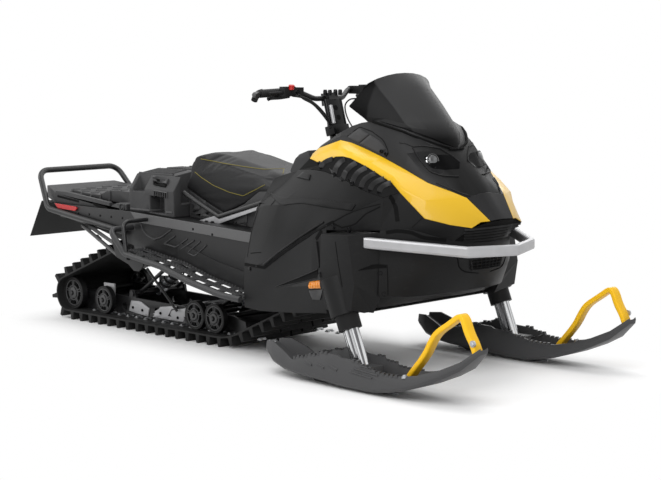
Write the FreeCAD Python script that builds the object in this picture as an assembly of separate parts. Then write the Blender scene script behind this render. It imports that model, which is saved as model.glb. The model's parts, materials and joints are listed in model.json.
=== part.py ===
import FreeCAD, Part
import math
import os

V = FreeCAD.Vector

# Frame of the model: +X forward, +Y to the rider's left, +Z up, ground at zero.
# All lengths in millimetres.
ground = 0.0
fit = 0.05
seat_gap = 0.3
overrun = 2.0

# Bodywork: the tables of places below are shares of these four sizes
hull_rear = 268.0
hull_length = 1000.0
hull_half_width = 500.0
crown_height = 1000.0
panel_wall = 5.0
core_rear_share = 0.18
core_front_share = 0.63
core_height_share = 0.50
tower_rear_share = 0.489
belly_front_share = 0.612
belly_height_share = 0.270
belly_height = belly_height_share * crown_height
belly_wall = 6.0

# Track: an endless belt with bar lugs, and the four circles that it runs around
track_width = 508.0
belt_thickness = 8.0
lug_height = 38.0
lug_base = 26.0
lug_tip = 15.0
lug_pitch = 72.6
lug_sink = 3.0
lug_side_share = 0.30
lug_middle_share = 0.36
idler_x = -1229.0
idler_radius = 77.5
bow_x = -130.0
bow_radius = 350.0
sprocket_x = 420.0
sprocket_z = 350.0
sprocket_radius = 85.0
carrier_x = -640.0
carrier_z = 367.0
carrier_radius = 65.0
belt_seat = lug_height + belt_thickness

# Wheels, axles and rails inside the track
wheel_y = 200.0
idler_width = 30.0
bogie_radius = 66.0
bogie_width = 26.0
bogie_places = [-989.0, -319.0, -184.0]
axle_radius = 12.0
axle_overhang = 8.0
wheel_bore_radius = 22.0
wheel_rim = 14.0
wheel_web = 8.0
wheel_spokes = 5
window_inner_share = 0.46
window_outer_share = 0.74
window_turn_share = 0.30
sprocket_width = 40.0
sprocket_y = 140.0
rail_y = 150.0
rail_thickness = 12.0
rail_height = 78.0
rail_rear = -1262.0
rail_nose_turn = 17.0
rail_nose_height = 46.0
rail_window_radius = 17.0
rail_window_places = [-900.0, -780.0, -660.0, -540.0, -440.0]
slider_height = 16.0

# Suspension arms between rails and tunnel, and their spring legs
arm_radius = 14.0
arm_y = 110.0
front_pivot_x = 60.0
front_pivot_z = 335.0
front_foot_x = -250.0
front_foot_z = 150.0
rear_pivot_x = -470.0
rear_pivot_z = 398.0
rear_foot_x = -840.0
rear_foot_z = 152.0
damper_radius = 17.0
damper_rod_radius = 7.0
spring_radius = 29.0
spring_wire = 9.0
spring_turns = 6
spring_span_share = 0.40
eye_radius = 16.0
eye_width = 26.0

# Tunnel, an inverted channel above the track
tunnel_half_width = 266.0
tunnel_wall = 4.0
tunnel_rear = -1300.0
tunnel_front = 575.0
tunnel_rear_height = 560.0
tunnel_mid = -700.0
tunnel_mid_height = 556.0
tunnel_front_height = 500.0
strip_thickness = 6.0
strip_rear = -690.0
strip_front = 300.0
strip_height = 44.0

# Running boards beside the tunnel
board_outer = 418.0
board_inner_front = 385.0
board_wall = 5.0
board_tube_radius = 13.0
board_slot_length = 62.0
board_slot_width = 26.0
board_slot_pitch = 92.0
board_slot_count = 9
board_slot_start = -575.0
board_slot_shares = [0.27, 0.68]
board_line_shares = [(0.078, 0.392), (0.316, 0.350), (0.464, 0.302),
                     (0.628, 0.266), (0.990, 0.238)]
board_kick = 55.0
board_kick_height = 95.0
gusset_length = 245.0
gusset_depth = 75.0
gusset_shares = [
    (0.020, 1.107), (0.200, -0.293), (0.563, -0.653), (0.714, -0.987),
    (0.857, -0.987), (0.988, -0.627), (0.988, -0.200), (0.500, 0.000)]
brace_reach = 460.0
toe_loop_x = -570.0
toe_loop_radius = 9.0
toe_loop_length = 34.0

# Rear end: deck, grab hoop, flap, lamps, hitch
deck_half_width = 256.0
deck_corner_half_width = 204.0
deck_rear = -1441.0
deck_front = -742.0
deck_height = 50.0
deck_shares = [
    (0.000, 0.33), (0.000, 1.50), (0.202, 1.00), (0.814, 0.13), (0.893, 0.60),
    (1.000, 0.60), (1.000, 0.00), (0.328, 0.00), (0.202, 0.00)]
deck_rail_shares = [
    (0.202, 1.00), (0.202, 1.16), (0.330, 1.16), (0.814, 0.60), (0.814, 0.13)]
deck_rail_width = 22.0
deck_pad_half_width = 176.0
deck_pad_shares = [
    (0.215, 0.90), (0.230, 1.24), (0.400, 1.02), (0.560, 0.98), (0.640, 1.40),
    (0.760, 1.56), (0.985, 1.50), (0.985, 0.20)]
hoop_radius = 14.0
hoop_bend = 62.0
hoop_half_width = 235.0
hoop_height = 707.0
hoop_rear = -1460.0
flap_wall = 5.0
flap_half_width = 236.0
flap_reach = 114.0
flap_rear = deck_rear - flap_reach
flap_bottom = 378.0
lamp_depth = 7.0
lamp_length = 182.0
lamp_height = 28.0
lamp_setback = 14.0
tail_lamp_shares = [(0.000, 0.00), (0.923, 0.25), (1.000, 0.50), (0.923, 1.00), (0.154, 0.80)]
hitch_width = 60.0
hitch_height = 16.0
hitch_length = 96.0
hitch_bore_radius = 9.5

# Cargo box behind the seat
box_rear = -725.0
box_front = -405.0
box_half_width = 250.0
box_wall_height = 106.0
box_shoulder_height = tunnel_mid_height + box_wall_height
box_lid_rise = 80.0
box_top_height = box_shoulder_height + box_lid_rise
box_front_inner = -452.0
box_cheek = 46.0
box_recess_depth = 60.0
box_recess_setback = 67.0
box_recess_length = 102.0
box_recess_height = 74.0
box_recess_rise = 4.0
box_recess_base = tunnel_mid_height + box_recess_rise
box_notch_length = 84.0
box_notch_setback = 26.0
box_slot_length = 84.0
box_slot_height = 26.0

# Seat and the tank under it
seat_rear = -418.0
seat_length = 668.0
seat_half_width = 178.0
seat_rise = 274.0
tank_half_width = 168.0
tank_rear = -396.0
tank_front = 400.0
console_half_width = 150.0
frame_tube_radius = 11.0
frame_y = 196.0
frame_plate = 5.0

# Engine block
engine_setback = 35.0
engine_front_share = 0.600
engine_half_width_share = 0.38
engine_top_share = 0.606

# Steering column and handlebar
steer_x_share = 0.084
steer_z_share = 0.930
steer_x = hull_rear + steer_x_share * hull_length
steer_z = steer_z_share * crown_height
steer_lean = 7.0
post_radius = 14.0
post_below = 120.0
post_above = 146.0
riser_half_width = 26.0
riser_depth = 24.0
riser_height = 52.0
bar_radius = 11.0
bar_bend = 46.0
bar_reach = 385.0
bar_route_shares = [
    (0.000, 0.00, 0.000), (0.020, 0.21, 0.010), (0.110, 0.39, 0.095),
    (0.200, 0.98, 0.070), (0.060, 1.00, 0.055)]
grip_radius = 17.0
grip_length = 125.0
control_length = 44.0
control_height = 34.0
control_depth = 30.0
lever_radius = 6.0
lever_gap = 42.0
cable_radius = 4.0
cable_bend = 24.0
cable_ahead = 30.0
cable_low = 26.0

# Ski legs and skis
stance_half = 450.0
leg_foot_share = 0.670
leg_foot_x = hull_rear + leg_foot_share * hull_length
leg_foot_z = 115.0
leg_rake = 22.2
leg_radius = 27.0
leg_lobe_offset = 13.0
leg_travel_length = 330.0
collar_radius = 46.0
collar_low = 113.0
housing_radius = 62.0
housing_low = 170.0
housing_length = 150.0
ski_half_width = 84.0
ski_length = 1095.0
ski_ahead = 617.0
ski_tail = leg_foot_x + ski_ahead - ski_length
ski_edge_rise = 13.0
keel_half_width = 22.0
saddle_half_width = 30.0
saddle_length = 150.0
saddle_height = 60.0
loop_half_width = 22.0
loop_thickness = 20.0

# Bumper
bumper_height = 43.0
bumper_depth = 26.0

# Windscreen
screen_wall = 5.0

# Places on the left side, as shares of hull length behind the nose zero,
# of hull half width and of crown height. Each row runs from the rear forwards.
side_foot_shares = [
    (-0.043, 0.790, 0.227), (0.062, 0.800, 0.223), (0.172, 0.820, 0.232),
    (0.292, 0.840, 0.242), (0.402, 0.862, 0.255), (0.489, 0.880, 0.264)]
side_crest_shares = [
    (-0.043, 0.796, 0.300), (0.082, 0.816, 0.316), (0.182, 0.844, 0.332),
    (0.292, 0.882, 0.349), (0.402, 0.924, 0.366), (0.489, 0.948, 0.380)]
side_ledge_shares = [
    (-0.044, 0.794, 0.330), (0.082, 0.818, 0.332), (0.182, 0.838, 0.350),
    (0.292, 0.860, 0.376), (0.402, 0.874, 0.404), (0.489, 0.880, 0.430)]
side_split_shares = [
    (-0.046, 0.784, 0.412), (0.062, 0.848, 0.412), (0.172, 0.860, 0.444),
    (0.292, 0.870, 0.504), (0.402, 0.876, 0.562), (0.489, 0.882, 0.609),
    (0.602, 0.816, 0.668), (0.717, 0.720, 0.722)]
side_waist_shares = [
    (-0.006, 0.710, 0.640), (0.077, 0.770, 0.655), (0.182, 0.810, 0.668),
    (0.292, 0.824, 0.672), (0.402, 0.824, 0.676), (0.500, 0.810, 0.684),
    (0.610, 0.776, 0.703), (0.717, 0.720, 0.722)]
side_top_shares = [
    (0.046, 0.600, 0.763), (0.169, 0.560, 0.799), (0.262, 0.612, 0.806),
    (0.361, 0.660, 0.805), (0.436, 0.692, 0.794), (0.511, 0.720, 0.779),
    (0.630, 0.740, 0.742), (0.717, 0.720, 0.722)]
band_foot_shares = [
    (0.202, 0.500, 0.845), (0.300, 0.540, 0.825), (0.382, 0.560, 0.861),
    (0.427, 0.572, 0.864), (0.472, 0.580, 0.859), (0.567, 0.580, 0.827),
    (0.695, 0.584, 0.774), (0.744, 0.596, 0.739), (0.842, 0.536, 0.644),
    (0.917, 0.410, 0.620), (0.974, 0.300, 0.608)]
band_crease_shares = [
    (0.187, 0.452, 0.853), (0.252, 0.490, 0.865), (0.366, 0.524, 0.893),
    (0.422, 0.534, 0.890), (0.474, 0.540, 0.878), (0.574, 0.552, 0.843),
    (0.694, 0.560, 0.797), (0.752, 0.580, 0.752), (0.832, 0.510, 0.712),
    (0.912, 0.340, 0.683), (0.982, 0.210, 0.628)]
band_top_shares = [
    (0.182, 0.430, 0.861), (0.227, 0.440, 0.888), (0.351, 0.444, 0.923),
    (0.412, 0.444, 0.915), (0.478, 0.444, 0.897), (0.582, 0.452, 0.866),
    (0.692, 0.442, 0.824), (0.793, 0.390, 0.773), (0.872, 0.280, 0.738),
    (0.915, 0.220, 0.717), (0.998, 0.136, 0.630)]
hood_pod_shares = [
    (0.157, 0.405, 0.848), (0.220, 0.412, 0.893), (0.337, 0.416, 0.938),
    (0.400, 0.418, 0.947), (0.460, 0.422, 0.945), (0.557, 0.424, 0.935),
    (0.679, 0.404, 0.893), (0.775, 0.300, 0.845), (0.836, 0.160, 0.790),
    (0.915, 0.140, 0.723), (0.998, 0.100, 0.631)]
hood_shoulder_shares = [
    (0.132, 0.376, 0.832), (0.212, 0.380, 0.897), (0.322, 0.382, 0.952),
    (0.388, 0.388, 0.978), (0.442, 0.394, 0.992), (0.532, 0.392, 1.002),
    (0.637, 0.350, 0.971), (0.745, 0.236, 0.910), (0.800, 0.070, 0.848),
    (0.915, 0.060, 0.729), (0.998, 0.060, 0.632)]
hood_spine_shares = [
    (0.112, 0.000, 0.860), (0.202, 0.000, 0.925), (0.312, 0.000, 0.970),
    (0.382, 0.000, 0.995), (0.442, 0.000, 1.008), (0.542, 0.000, 1.015),
    (0.652, 0.000, 0.975), (0.762, 0.000, 0.900), (0.812, 0.000, 0.838),
    (0.920, 0.000, 0.731), (1.000, 0.000, 0.633)]
fascia_foot_shares = [
    (0.489, 0.886, 0.590), (0.602, 0.830, 0.592), (0.697, 0.720, 0.596),
    (0.752, 0.630, 0.606), (0.794, 0.570, 0.600), (0.842, 0.470, 0.580),
    (0.900, 0.330, 0.555), (0.930, 0.170, 0.545), (0.938, 0.000, 0.540)]
nose_edge_shares = [(0.996, 0.140, 0.627), (1.000, 0.000, 0.630)]
pan_waist_shares = [
    (0.697, 0.730, 0.470), (0.754, 0.650, 0.462), (0.792, 0.585, 0.455),
    (0.836, 0.490, 0.445), (0.885, 0.345, 0.435), (0.912, 0.180, 0.430),
    (0.918, 0.000, 0.428)]
pan_chin_shares = [
    (0.697, 0.740, 0.345), (0.735, 0.640, 0.342), (0.768, 0.560, 0.340),
    (0.800, 0.460, 0.342), (0.840, 0.320, 0.348), (0.862, 0.170, 0.352),
    (0.868, 0.000, 0.354)]
pan_foot_shares = [
    (0.600, 0.730), (0.602, 0.640), (0.604, 0.540), (0.604, 0.420),
    (0.602, 0.300), (0.600, 0.160), (0.600, 0.000)]
tower_outer_shares = [
    (0.507, 0.578), (0.650, 0.584), (0.684, 0.400), (0.667, 0.300),
    (0.532, 0.290), (0.497, 0.385)]
tower_inner_shares = [
    (0.489, 0.582), (0.697, 0.588), (0.697, 0.335), (0.662, 0.276),
    (0.532, 0.276), (0.489, 0.290)]
tower_outer_y_share = 0.975
tower_inner_y_share = 0.720
screen_foot_shares = [
    (0.480, 0.404, 1.002), (0.555, 0.386, 0.999), (0.631, 0.334, 0.979),
    (0.700, 0.200, 0.946), (0.745, 0.095, 0.917), (0.771, 0.000, 0.895)]
screen_low_shares = [
    (0.470, 0.425, 1.016), (0.552, 0.352, 1.010), (0.622, 0.285, 0.992),
    (0.694, 0.180, 0.968), (0.726, 0.090, 0.952), (0.738, 0.000, 0.944)]
screen_high_shares = [
    (0.418, 0.480, 1.060), (0.490, 0.390, 1.058), (0.565, 0.300, 1.055),
    (0.610, 0.200, 1.052), (0.634, 0.100, 1.050), (0.642, 0.000, 1.049)]
screen_brow_shares = [
    (0.448, 0.400, 1.116), (0.474, 0.352, 1.120), (0.498, 0.302, 1.124),
    (0.540, 0.200, 1.127), (0.566, 0.100, 1.129), (0.575, 0.000, 1.130)]
screen_top_shares = [
    (0.462, 0.362, 1.146), (0.470, 0.330, 1.155), (0.478, 0.286, 1.165),
    (0.488, 0.195, 1.177), (0.493, 0.100, 1.184), (0.494, 0.000, 1.186)]
lamp_outline_shares = [
    (0.690, 0.880), (0.745, 0.892), (0.790, 0.846), (0.812, 0.806), (0.780, 0.806),
    (0.730, 0.842)]
reflector_shares = [(0.404, 0.382), (0.485, 0.398), (0.485, 0.366), (0.409, 0.356)]
bumper_path_shares = [
    (0.667, 0.858, 0.553), (1.000, 0.399, 0.521), (1.082, 0.000, 0.519)]
console_shares = [
    (-0.020, 0.830), (0.020, 0.850), (0.090, 0.868), (0.100, 0.838)]
console_foot_share = 0.700
console_rear_share = 0.782

# Seat sections: share of seat length, share that the top leans forwards, then
# shares of the seat's rise above the tunnel: top, seam, lower seam and skirt
seat_section_shares = [
    (0.000, 0.100, 0.903, 0.885, 0.697, 0.403),
    (0.075, 0.060, 0.964, 0.915, 0.667, 0.358),
    (0.205, 0.000, 1.000, 0.909, 0.580, 0.228),
    (0.390, 0.000, 0.994, 0.873, 0.430, 0.067),
    (0.587, 0.000, 0.958, 0.836, 0.394, 0.249),
    (0.737, 0.000, 0.897, 0.806, 0.546, 0.485),
    (0.930, 0.000, 0.843, 0.818, 0.697, 0.600)]
seat_crown_drop_share = 0.024
seat_seam_drop_share = 0.042
seat_top_y_share = 0.62
seat_seam_y_share = 0.86
seat_low_y_share = 1.00
seat_skirt_y_share = 0.97

# Ski stations: share of length, height share of the lower face, width share,
# height shares of the floor between the side walls and of the walls' tops
ski_shares = [
    (0.000, 0.088, 0.50, 0.118, 0.130), (0.050, 0.052, 0.72, 0.084, 0.134),
    (0.120, 0.034, 0.90, 0.060, 0.106), (0.165, 0.030, 0.96, 0.054, 0.080),
    (0.195, 0.027, 1.00, 0.050, 0.098), (0.240, 0.025, 1.00, 0.048, 0.102),
    (0.252, 0.024, 1.00, 0.047, 0.114), (0.300, 0.021, 1.00, 0.044, 0.117),
    (0.312, 0.020, 1.00, 0.043, 0.132), (0.400, 0.013, 1.00, 0.037, 0.130),
    (0.415, 0.012, 1.00, 0.036, 0.122), (0.500, 0.010, 1.00, 0.036, 0.118),
    (0.515, 0.010, 1.00, 0.036, 0.106), (0.560, 0.011, 1.00, 0.038, 0.103),
    (0.575, 0.012, 1.00, 0.040, 0.092), (0.640, 0.022, 1.00, 0.050, 0.088),
    (0.700, 0.037, 0.99, 0.066, 0.092), (0.760, 0.058, 0.95, 0.084, 0.104),
    (0.858, 0.101, 0.82, 0.124, 0.138), (0.931, 0.141, 0.62, 0.164, 0.174),
    (1.000, 0.206, 0.28, 0.224, 0.230)]
ski_bottom_share = 0.84
ski_wall_top_share = 0.88
ski_wall_inner_share = 0.76
ski_floor_share = 0.70
keel_shares = [0.165, 0.240, 0.575, 0.640]
loop_path_shares = [
    (0.662, 0.070), (0.686, 0.102), (0.748, 0.178), (0.774, 0.231),
    (0.801, 0.270), (0.859, 0.308), (0.917, 0.344), (0.941, 0.290),
    (0.967, 0.246), (0.984, 0.206)]


def hull(share):
    """Place on the left of the hull from its three shares."""
    x_share, y_share, z_share = share
    return V(hull_rear + x_share * hull_length, y_share * hull_half_width,
             z_share * crown_height)


def hull_row(shares):
    return [hull(share) for share in shares]


def core(point):
    """Nearest place on the line inside the hull that all walls are set in towards."""
    rear = hull_rear + core_rear_share * hull_length
    front = hull_rear + core_front_share * hull_length
    return V(min(max(point.x, rear), front), 0, core_height_share * crown_height)


def towards_core(point, wall):
    way = core(point) - point
    return point + way * (wall / way.Length)


def mirrored(shape):
    return shape.mirror(V(0, 0, 0), V(0, 1, 0))


def flip(point):
    return V(point.x, -point.y, point.z)


def both(shape):
    return Part.makeCompound([shape, mirrored(shape)])


def box(low, high):
    size = high - low
    return Part.makeBox(size.x, size.y, size.z, low)


def rod(start, end, radius):
    return Part.makeCylinder(radius, (end - start).Length, start, end - start)


def disc(x, z, radius, y_low, y_high):
    return rod(V(x, y_low, z), V(x, y_high, z), radius)


def polygon_face(points):
    return Part.Face(Part.makePolygon(points + [points[0]]))


def slab(outline, y_low, y_high):
    """Outline in the XZ plane, drawn out across the width."""
    face = polygon_face([V(x, y_low, z) for x, z in outline])
    return face.extrude(V(0, y_high - y_low, 0))


def triangles(a, b, c, d):
    """Faces of one cell of a skin: a flat quad, or two triangles."""
    faces = []
    for corners in ((a, b, c), (a, c, d)):
        sides = (corners[1] - corners[0]).cross(corners[2] - corners[0])
        if sides.Length > fit * fit:
            faces.append(polygon_face(list(corners)))
    return faces


def closed_solid(faces):
    """Sewn solid; one that comes out inside out is drawn again from its faces."""
    shell = Part.makeShell(faces)
    shell.sewShape()
    solid = Part.makeSolid(shell.Shells[0])
    if solid.Volume < 0:
        return solid.removeSplitter()
    return solid


def grid_solid(outer, inner):
    """Solid between two grids of points of the same size."""
    faces = []
    rows = len(outer)
    stations = len(outer[0])
    for i in range(rows - 1):
        for j in range(stations - 1):
            for grid in (outer, inner):
                faces += triangles(grid[i][j], grid[i][j + 1],
                                   grid[i + 1][j + 1], grid[i + 1][j])
    for j in range(stations - 1):
        for i in (0, rows - 1):
            faces += triangles(outer[i][j], outer[i][j + 1],
                               inner[i][j + 1], inner[i][j])
    for i in range(rows - 1):
        for j in (0, stations - 1):
            faces += triangles(outer[i][j], outer[i + 1][j],
                               inner[i + 1][j], inner[i][j])
    return closed_solid(faces)


def skin(rows, wall):
    """Panel of the hull: rows of outer points, each wall set in to the core."""
    inner = [[towards_core(p, wall) for p in row] for row in rows]
    return grid_solid(rows, inner)


def across(row):
    """Row that ends on the centre plane, carried on to the other side."""
    return row + [flip(p) for p in reversed(row[:-1])]


def rings_solid(rings):
    """Solid through closed rings of points, with flat ends."""
    faces = [polygon_face(rings[0]), polygon_face(rings[-1])]
    count = len(rings[0])
    for first, second in zip(rings, rings[1:]):
        for i in range(count):
            k = (i + 1) % count
            faces += triangles(first[i], first[k], second[k], second[i])
    return closed_solid(faces)


def bent_wire(points, bend):
    """Straight runs joined by tangent arcs of one radius."""
    edges = []
    start = points[0]
    for before, corner, after in zip(points, points[1:], points[2:]):
        arrive = (corner - before).normalize()
        leave = (after - corner).normalize()
        turn = arrive.getAngle(leave)
        cut = bend * math.tan(turn / 2)
        first = corner - arrive * cut
        last = corner + leave * cut
        inwards = (leave - arrive).normalize()
        middle = corner + inwards * (bend / math.cos(turn / 2) - bend)
        edges.append(Part.LineSegment(start, first).toShape())
        edges.append(Part.Arc(first, middle, last).toShape())
        start = last
    edges.append(Part.LineSegment(start, points[-1]).toShape())
    return Part.Wire(edges)


def tube(points, radius, bend):
    path = bent_wire(points, bend)
    way = points[1] - points[0]
    ring = Part.Wire(Part.makeCircle(radius, points[0], way))
    return path.makePipeShell([ring], True, True)


def largest(shape):
    return max(shape.Solids, key=lambda solid: solid.Volume)


def tunnel_top(x):
    """Height of the tunnel's top, which falls a little towards the front."""
    if x < tunnel_mid:
        share = (x - tunnel_rear) / (tunnel_mid - tunnel_rear)
        return tunnel_rear_height + share * (tunnel_mid_height - tunnel_rear_height)
    share = (x - tunnel_mid) / (tunnel_front - tunnel_mid)
    return tunnel_mid_height + share * (tunnel_front_height - tunnel_mid_height)


# The four circles of the track, in the order that the belt meets them
circles = [
    (idler_x, belt_seat + idler_radius, idler_radius),
    (bow_x, belt_seat + bow_radius, bow_radius),
    (sprocket_x, sprocket_z, sprocket_radius),
    (carrier_x, carrier_z, carrier_radius)]


def tangent_turn(first, second):
    """Direction of the outer tangent from one circle to the next."""
    dx = second[0] - first[0]
    dz = second[1] - first[1]
    lean = math.atan2(dz, dx)
    return lean + math.asin((first[2] - second[2]) / math.hypot(dx, dz))


def belt_line(offset):
    """Runs and arcs of the belt at an offset from its inner face."""
    turns = []
    for k in range(len(circles)):
        turns.append(tangent_turn(circles[k], circles[(k + 1) % len(circles)]))
    pieces = []
    for k, (x, z, radius) in enumerate(circles):
        start = turns[k - 1]
        end = turns[k]
        while end < start:
            end += 2 * math.pi
        reach = radius + offset
        pieces.append(("arc", x, z, reach, start, end))
        nx, nz, nr = circles[(k + 1) % len(circles)]
        a = (x + reach * math.sin(end), z - reach * math.cos(end))
        b = (nx + (nr + offset) * math.sin(end), nz - (nr + offset) * math.cos(end))
        pieces.append(("run", a, b, end))
    return pieces


def belt_face(offset):
    edges = []
    for piece in belt_line(offset):
        if piece[0] == "arc":
            _, x, z, reach, start, end = piece
            marks = []
            for turn in (start, (start + end) / 2, end):
                marks.append(V(x + reach * math.sin(turn), -track_width / 2,
                               z - reach * math.cos(turn)))
            edges.append(Part.Arc(*marks).toShape())
        else:
            _, a, b, _ = piece
            edges.append(Part.LineSegment(V(a[0], -track_width / 2, a[1]),
                                          V(b[0], -track_width / 2, b[1])).toShape())
    return Part.Face(Part.Wire(edges))


def belt_marks():
    """Place and direction of each lug on the belt's outer face."""
    pieces = belt_line(0)
    lengths = []
    for piece in pieces:
        if piece[0] == "arc":
            lengths.append(piece[3] * (piece[5] - piece[4]))
        else:
            lengths.append(math.dist(piece[1], piece[2]))
    total = sum(lengths)
    count = round(total / lug_pitch)
    marks = []
    for k in range(count):
        along = (k + 1 / 2) * total / count
        for piece, length in zip(pieces, lengths):
            if along <= length:
                break
            along -= length
        share = along / length
        if piece[0] == "arc":
            _, x, z, reach, start, end = piece
            turn = start + share * (end - start)
            reach += belt_thickness
            place = (x + reach * math.sin(turn), z - reach * math.cos(turn))
        else:
            _, a, b, turn = piece
            place = (a[0] + share * (b[0] - a[0]) + belt_thickness * math.sin(turn),
                     a[1] + share * (b[1] - a[1]) - belt_thickness * math.cos(turn))
        marks.append((place, turn))
    return marks


def lug(place, turn, y_low, y_high):
    """Bar lug, wider at its root, standing on the belt."""
    along = (math.cos(turn), math.sin(turn))
    out = (math.sin(turn), -math.cos(turn))
    outline = []
    for half, rise in ((-lug_base / 2, -lug_sink), (lug_base / 2, -lug_sink),
                       (lug_tip / 2, lug_height), (-lug_tip / 2, lug_height)):
        outline.append((place[0] + along[0] * half + out[0] * rise,
                        place[1] + along[1] * half + out[1] * rise))
    return slab(outline, y_low, y_high)


def make_track():
    outer = belt_face(belt_thickness).extrude(V(0, track_width, 0))
    inner = belt_face(0).extrude(V(0, track_width, 0))
    belt = outer.cut(inner)
    half = track_width / 2
    side = lug_side_share * track_width
    middle = lug_middle_share * track_width / 2
    lugs = []
    for k, (place, turn) in enumerate(belt_marks()):
        lugs.append(lug(place, turn, -half, side - half))
        lugs.append(lug(place, turn, half - side, half))
        if k % 2:
            lugs.append(lug(place, turn, -middle, middle))
    return belt.fuse(lugs)


def wheel_window(x, z, radius, turn, low, high):
    """Opening between two spokes of a wheel."""
    half = window_turn_share * math.pi / wheel_spokes
    outline = []
    for share, sign in ((window_inner_share, -1), (window_outer_share, -1),
                        (window_outer_share, 1), (window_inner_share, 1)):
        angle = turn + sign * half
        outline.append((x + share * radius * math.cos(angle),
                        z + share * radius * math.sin(angle)))
    return slab(outline, low, high)


def wheel(x, z, radius, width, y):
    """Spoked wheel: rim, web with windows and hub, turned about the axle's line."""
    low = y - width / 2
    high = y + width / 2
    rim = disc(x, z, radius, low, high).cut(disc(x, z, radius - wheel_rim, low, high))
    web = disc(x, z, radius - wheel_rim / 2, y - wheel_web / 2, y + wheel_web / 2)
    windows = []
    for k in range(wheel_spokes):
        turn = math.pi / 2 + 2 * math.pi * (k + 1 / 2) / wheel_spokes
        windows.append(wheel_window(x, z, radius, turn, low, high))
    hub = disc(x, z, wheel_bore_radius, low, high)
    bore = disc(x, z, axle_radius, low, high)
    return rim.fuse([web.cut(windows), hub]).cut(bore)


def make_wheel_set(x, z, radius, width):
    axle_end = wheel_y + width / 2 + axle_overhang
    axle = disc(x, z, axle_radius, -axle_end, axle_end)
    wheels = [wheel(x, z, radius - seat_gap, width, side * wheel_y)
              for side in (-1, 1)]
    return axle.fuse(wheels)


def make_bogie_wheels():
    sets = []
    for x in bogie_places:
        sets.append(make_wheel_set(x, belt_seat + bogie_radius, bogie_radius, bogie_width))
    return Part.makeCompound(sets)


def make_idler_wheels():
    return make_wheel_set(idler_x, belt_seat + idler_radius, idler_radius, idler_width)


def make_carrier_wheels():
    """Upper wheels on an axle between the tunnel's two drop tabs."""
    half = tunnel_half_width - tunnel_wall
    axle = disc(carrier_x, carrier_z, axle_radius, -half, half)
    return axle.fuse(make_wheel_set(carrier_x, carrier_z, carrier_radius, bogie_width))


def make_drive_axle():
    half = tunnel_half_width - tunnel_wall
    axle = disc(sprocket_x, sprocket_z, axle_radius, -half, half)
    parts = []
    for side in (-1, 1):
        y = side * sprocket_y
        parts.append(disc(sprocket_x, sprocket_z, sprocket_radius - seat_gap,
                          y - sprocket_width / 2, y + sprocket_width / 2))
    return axle.fuse(parts)


def rail_outline():
    """Side view of a rail: flat foot, bowed nose, lower back."""
    points = [(rail_rear, belt_seat + idler_radius / 2), (idler_x, belt_seat),
              (bow_x, belt_seat)]
    nose = math.radians(rail_nose_turn)
    steps = 4
    reach = bow_radius - seat_gap
    middle_z = belt_seat + bow_radius
    for k in range(1, steps + 1):
        turn = nose * k / steps
        points.append((bow_x + reach * math.sin(turn), middle_z - reach * math.cos(turn)))
    top = reach - rail_nose_height
    points.append((bow_x + top * math.sin(nose), middle_z - top * math.cos(nose)))
    points.append((bow_x, belt_seat + rail_height))
    points.append((rail_rear, belt_seat + rail_height + slider_height))
    return points


def make_slide_rails():
    low = rail_y - rail_thickness / 2
    rail = slab(rail_outline(), low, low + rail_thickness)
    places = [(idler_x, belt_seat + idler_radius)]
    places += [(x, belt_seat + bogie_radius) for x in bogie_places]
    for x, z in places:
        rail = rail.cut(disc(x, z, axle_radius + fit, low - overrun,
                             low + rail_thickness + overrun))
    for x in rail_window_places:
        rail = rail.cut(disc(x, belt_seat + rail_height / 2, rail_window_radius,
                             low - overrun, low + rail_thickness + overrun))
    for x, z in ((front_foot_x, front_foot_z), (rear_foot_x, rear_foot_z)):
        ear = slab([(x - rail_height / 2, belt_seat + rail_height / 2),
                    (x + rail_height / 2, belt_seat + rail_height / 2),
                    (x + eye_radius, z + eye_radius), (x - eye_radius, z + eye_radius)],
                   low, low + rail_thickness)
        bore = disc(x, z, arm_radius + fit, low - overrun,
                    low + rail_thickness + overrun)
        rail = rail.fuse(ear).cut(bore)
    return both(rail.removeSplitter())


def swing_arm(pivot, foot):
    """Cross tube in the tunnel, cross tube in the rails, two legs between."""
    half = tunnel_half_width - tunnel_wall
    low = rail_y + rail_thickness
    head = disc(pivot[0], pivot[1], arm_radius, -half, half)
    base = disc(foot[0], foot[1], arm_radius, -low, low)
    legs = []
    for side in (-1, 1):
        y = side * arm_y
        legs.append(rod(V(pivot[0], y, pivot[1]), V(foot[0], y, foot[1]),
                        arm_radius - panel_wall))
    return head.fuse([base] + legs)


def make_suspension_arms():
    front = swing_arm((front_pivot_x, front_pivot_z), (front_foot_x, front_foot_z))
    rear = swing_arm((rear_pivot_x, rear_pivot_z), (rear_foot_x, rear_foot_z))
    return Part.makeCompound([front, rear])


def spring_leg(top, foot):
    """Damper body and rod with a coil of rings around it, and an eye at each end."""
    start = V(foot[0], 0, foot[1])
    end = V(top[0], 0, top[1])
    way = (end - start).normalize()
    length = (end - start).Length
    clear = arm_radius + fit
    body = rod(start + way * (clear + eye_radius), start + way * (length / 2),
               damper_radius)
    shaft = rod(start + way * (length / 2), end - way * (clear + eye_radius / 2),
                damper_rod_radius)
    pieces = [shaft]
    for place in (start, end):
        eye = disc(place.x, place.z, clear + eye_radius / 2,
                   -eye_width / 2, eye_width / 2)
        pieces.append(eye)
    neck = rod(start, start + way * (clear + eye_radius + overrun), damper_rod_radius)
    pieces.append(neck)
    pitch = spring_span_share * length / spring_turns
    plate = rod(start + way * (length / 2), start + way * (length / 2 + spring_wire),
                spring_radius)
    pieces.append(plate)
    for k in range(spring_turns):
        middle = start + way * (clear + eye_radius + pitch * (k + 1 / 2))
        pieces.append(rod(middle, middle + way * spring_wire, spring_radius))
    whole = body.fuse(pieces)
    for place in (start, end):
        whole = whole.cut(disc(place.x, place.z, clear, -eye_width, eye_width))
    return largest(whole)


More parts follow.
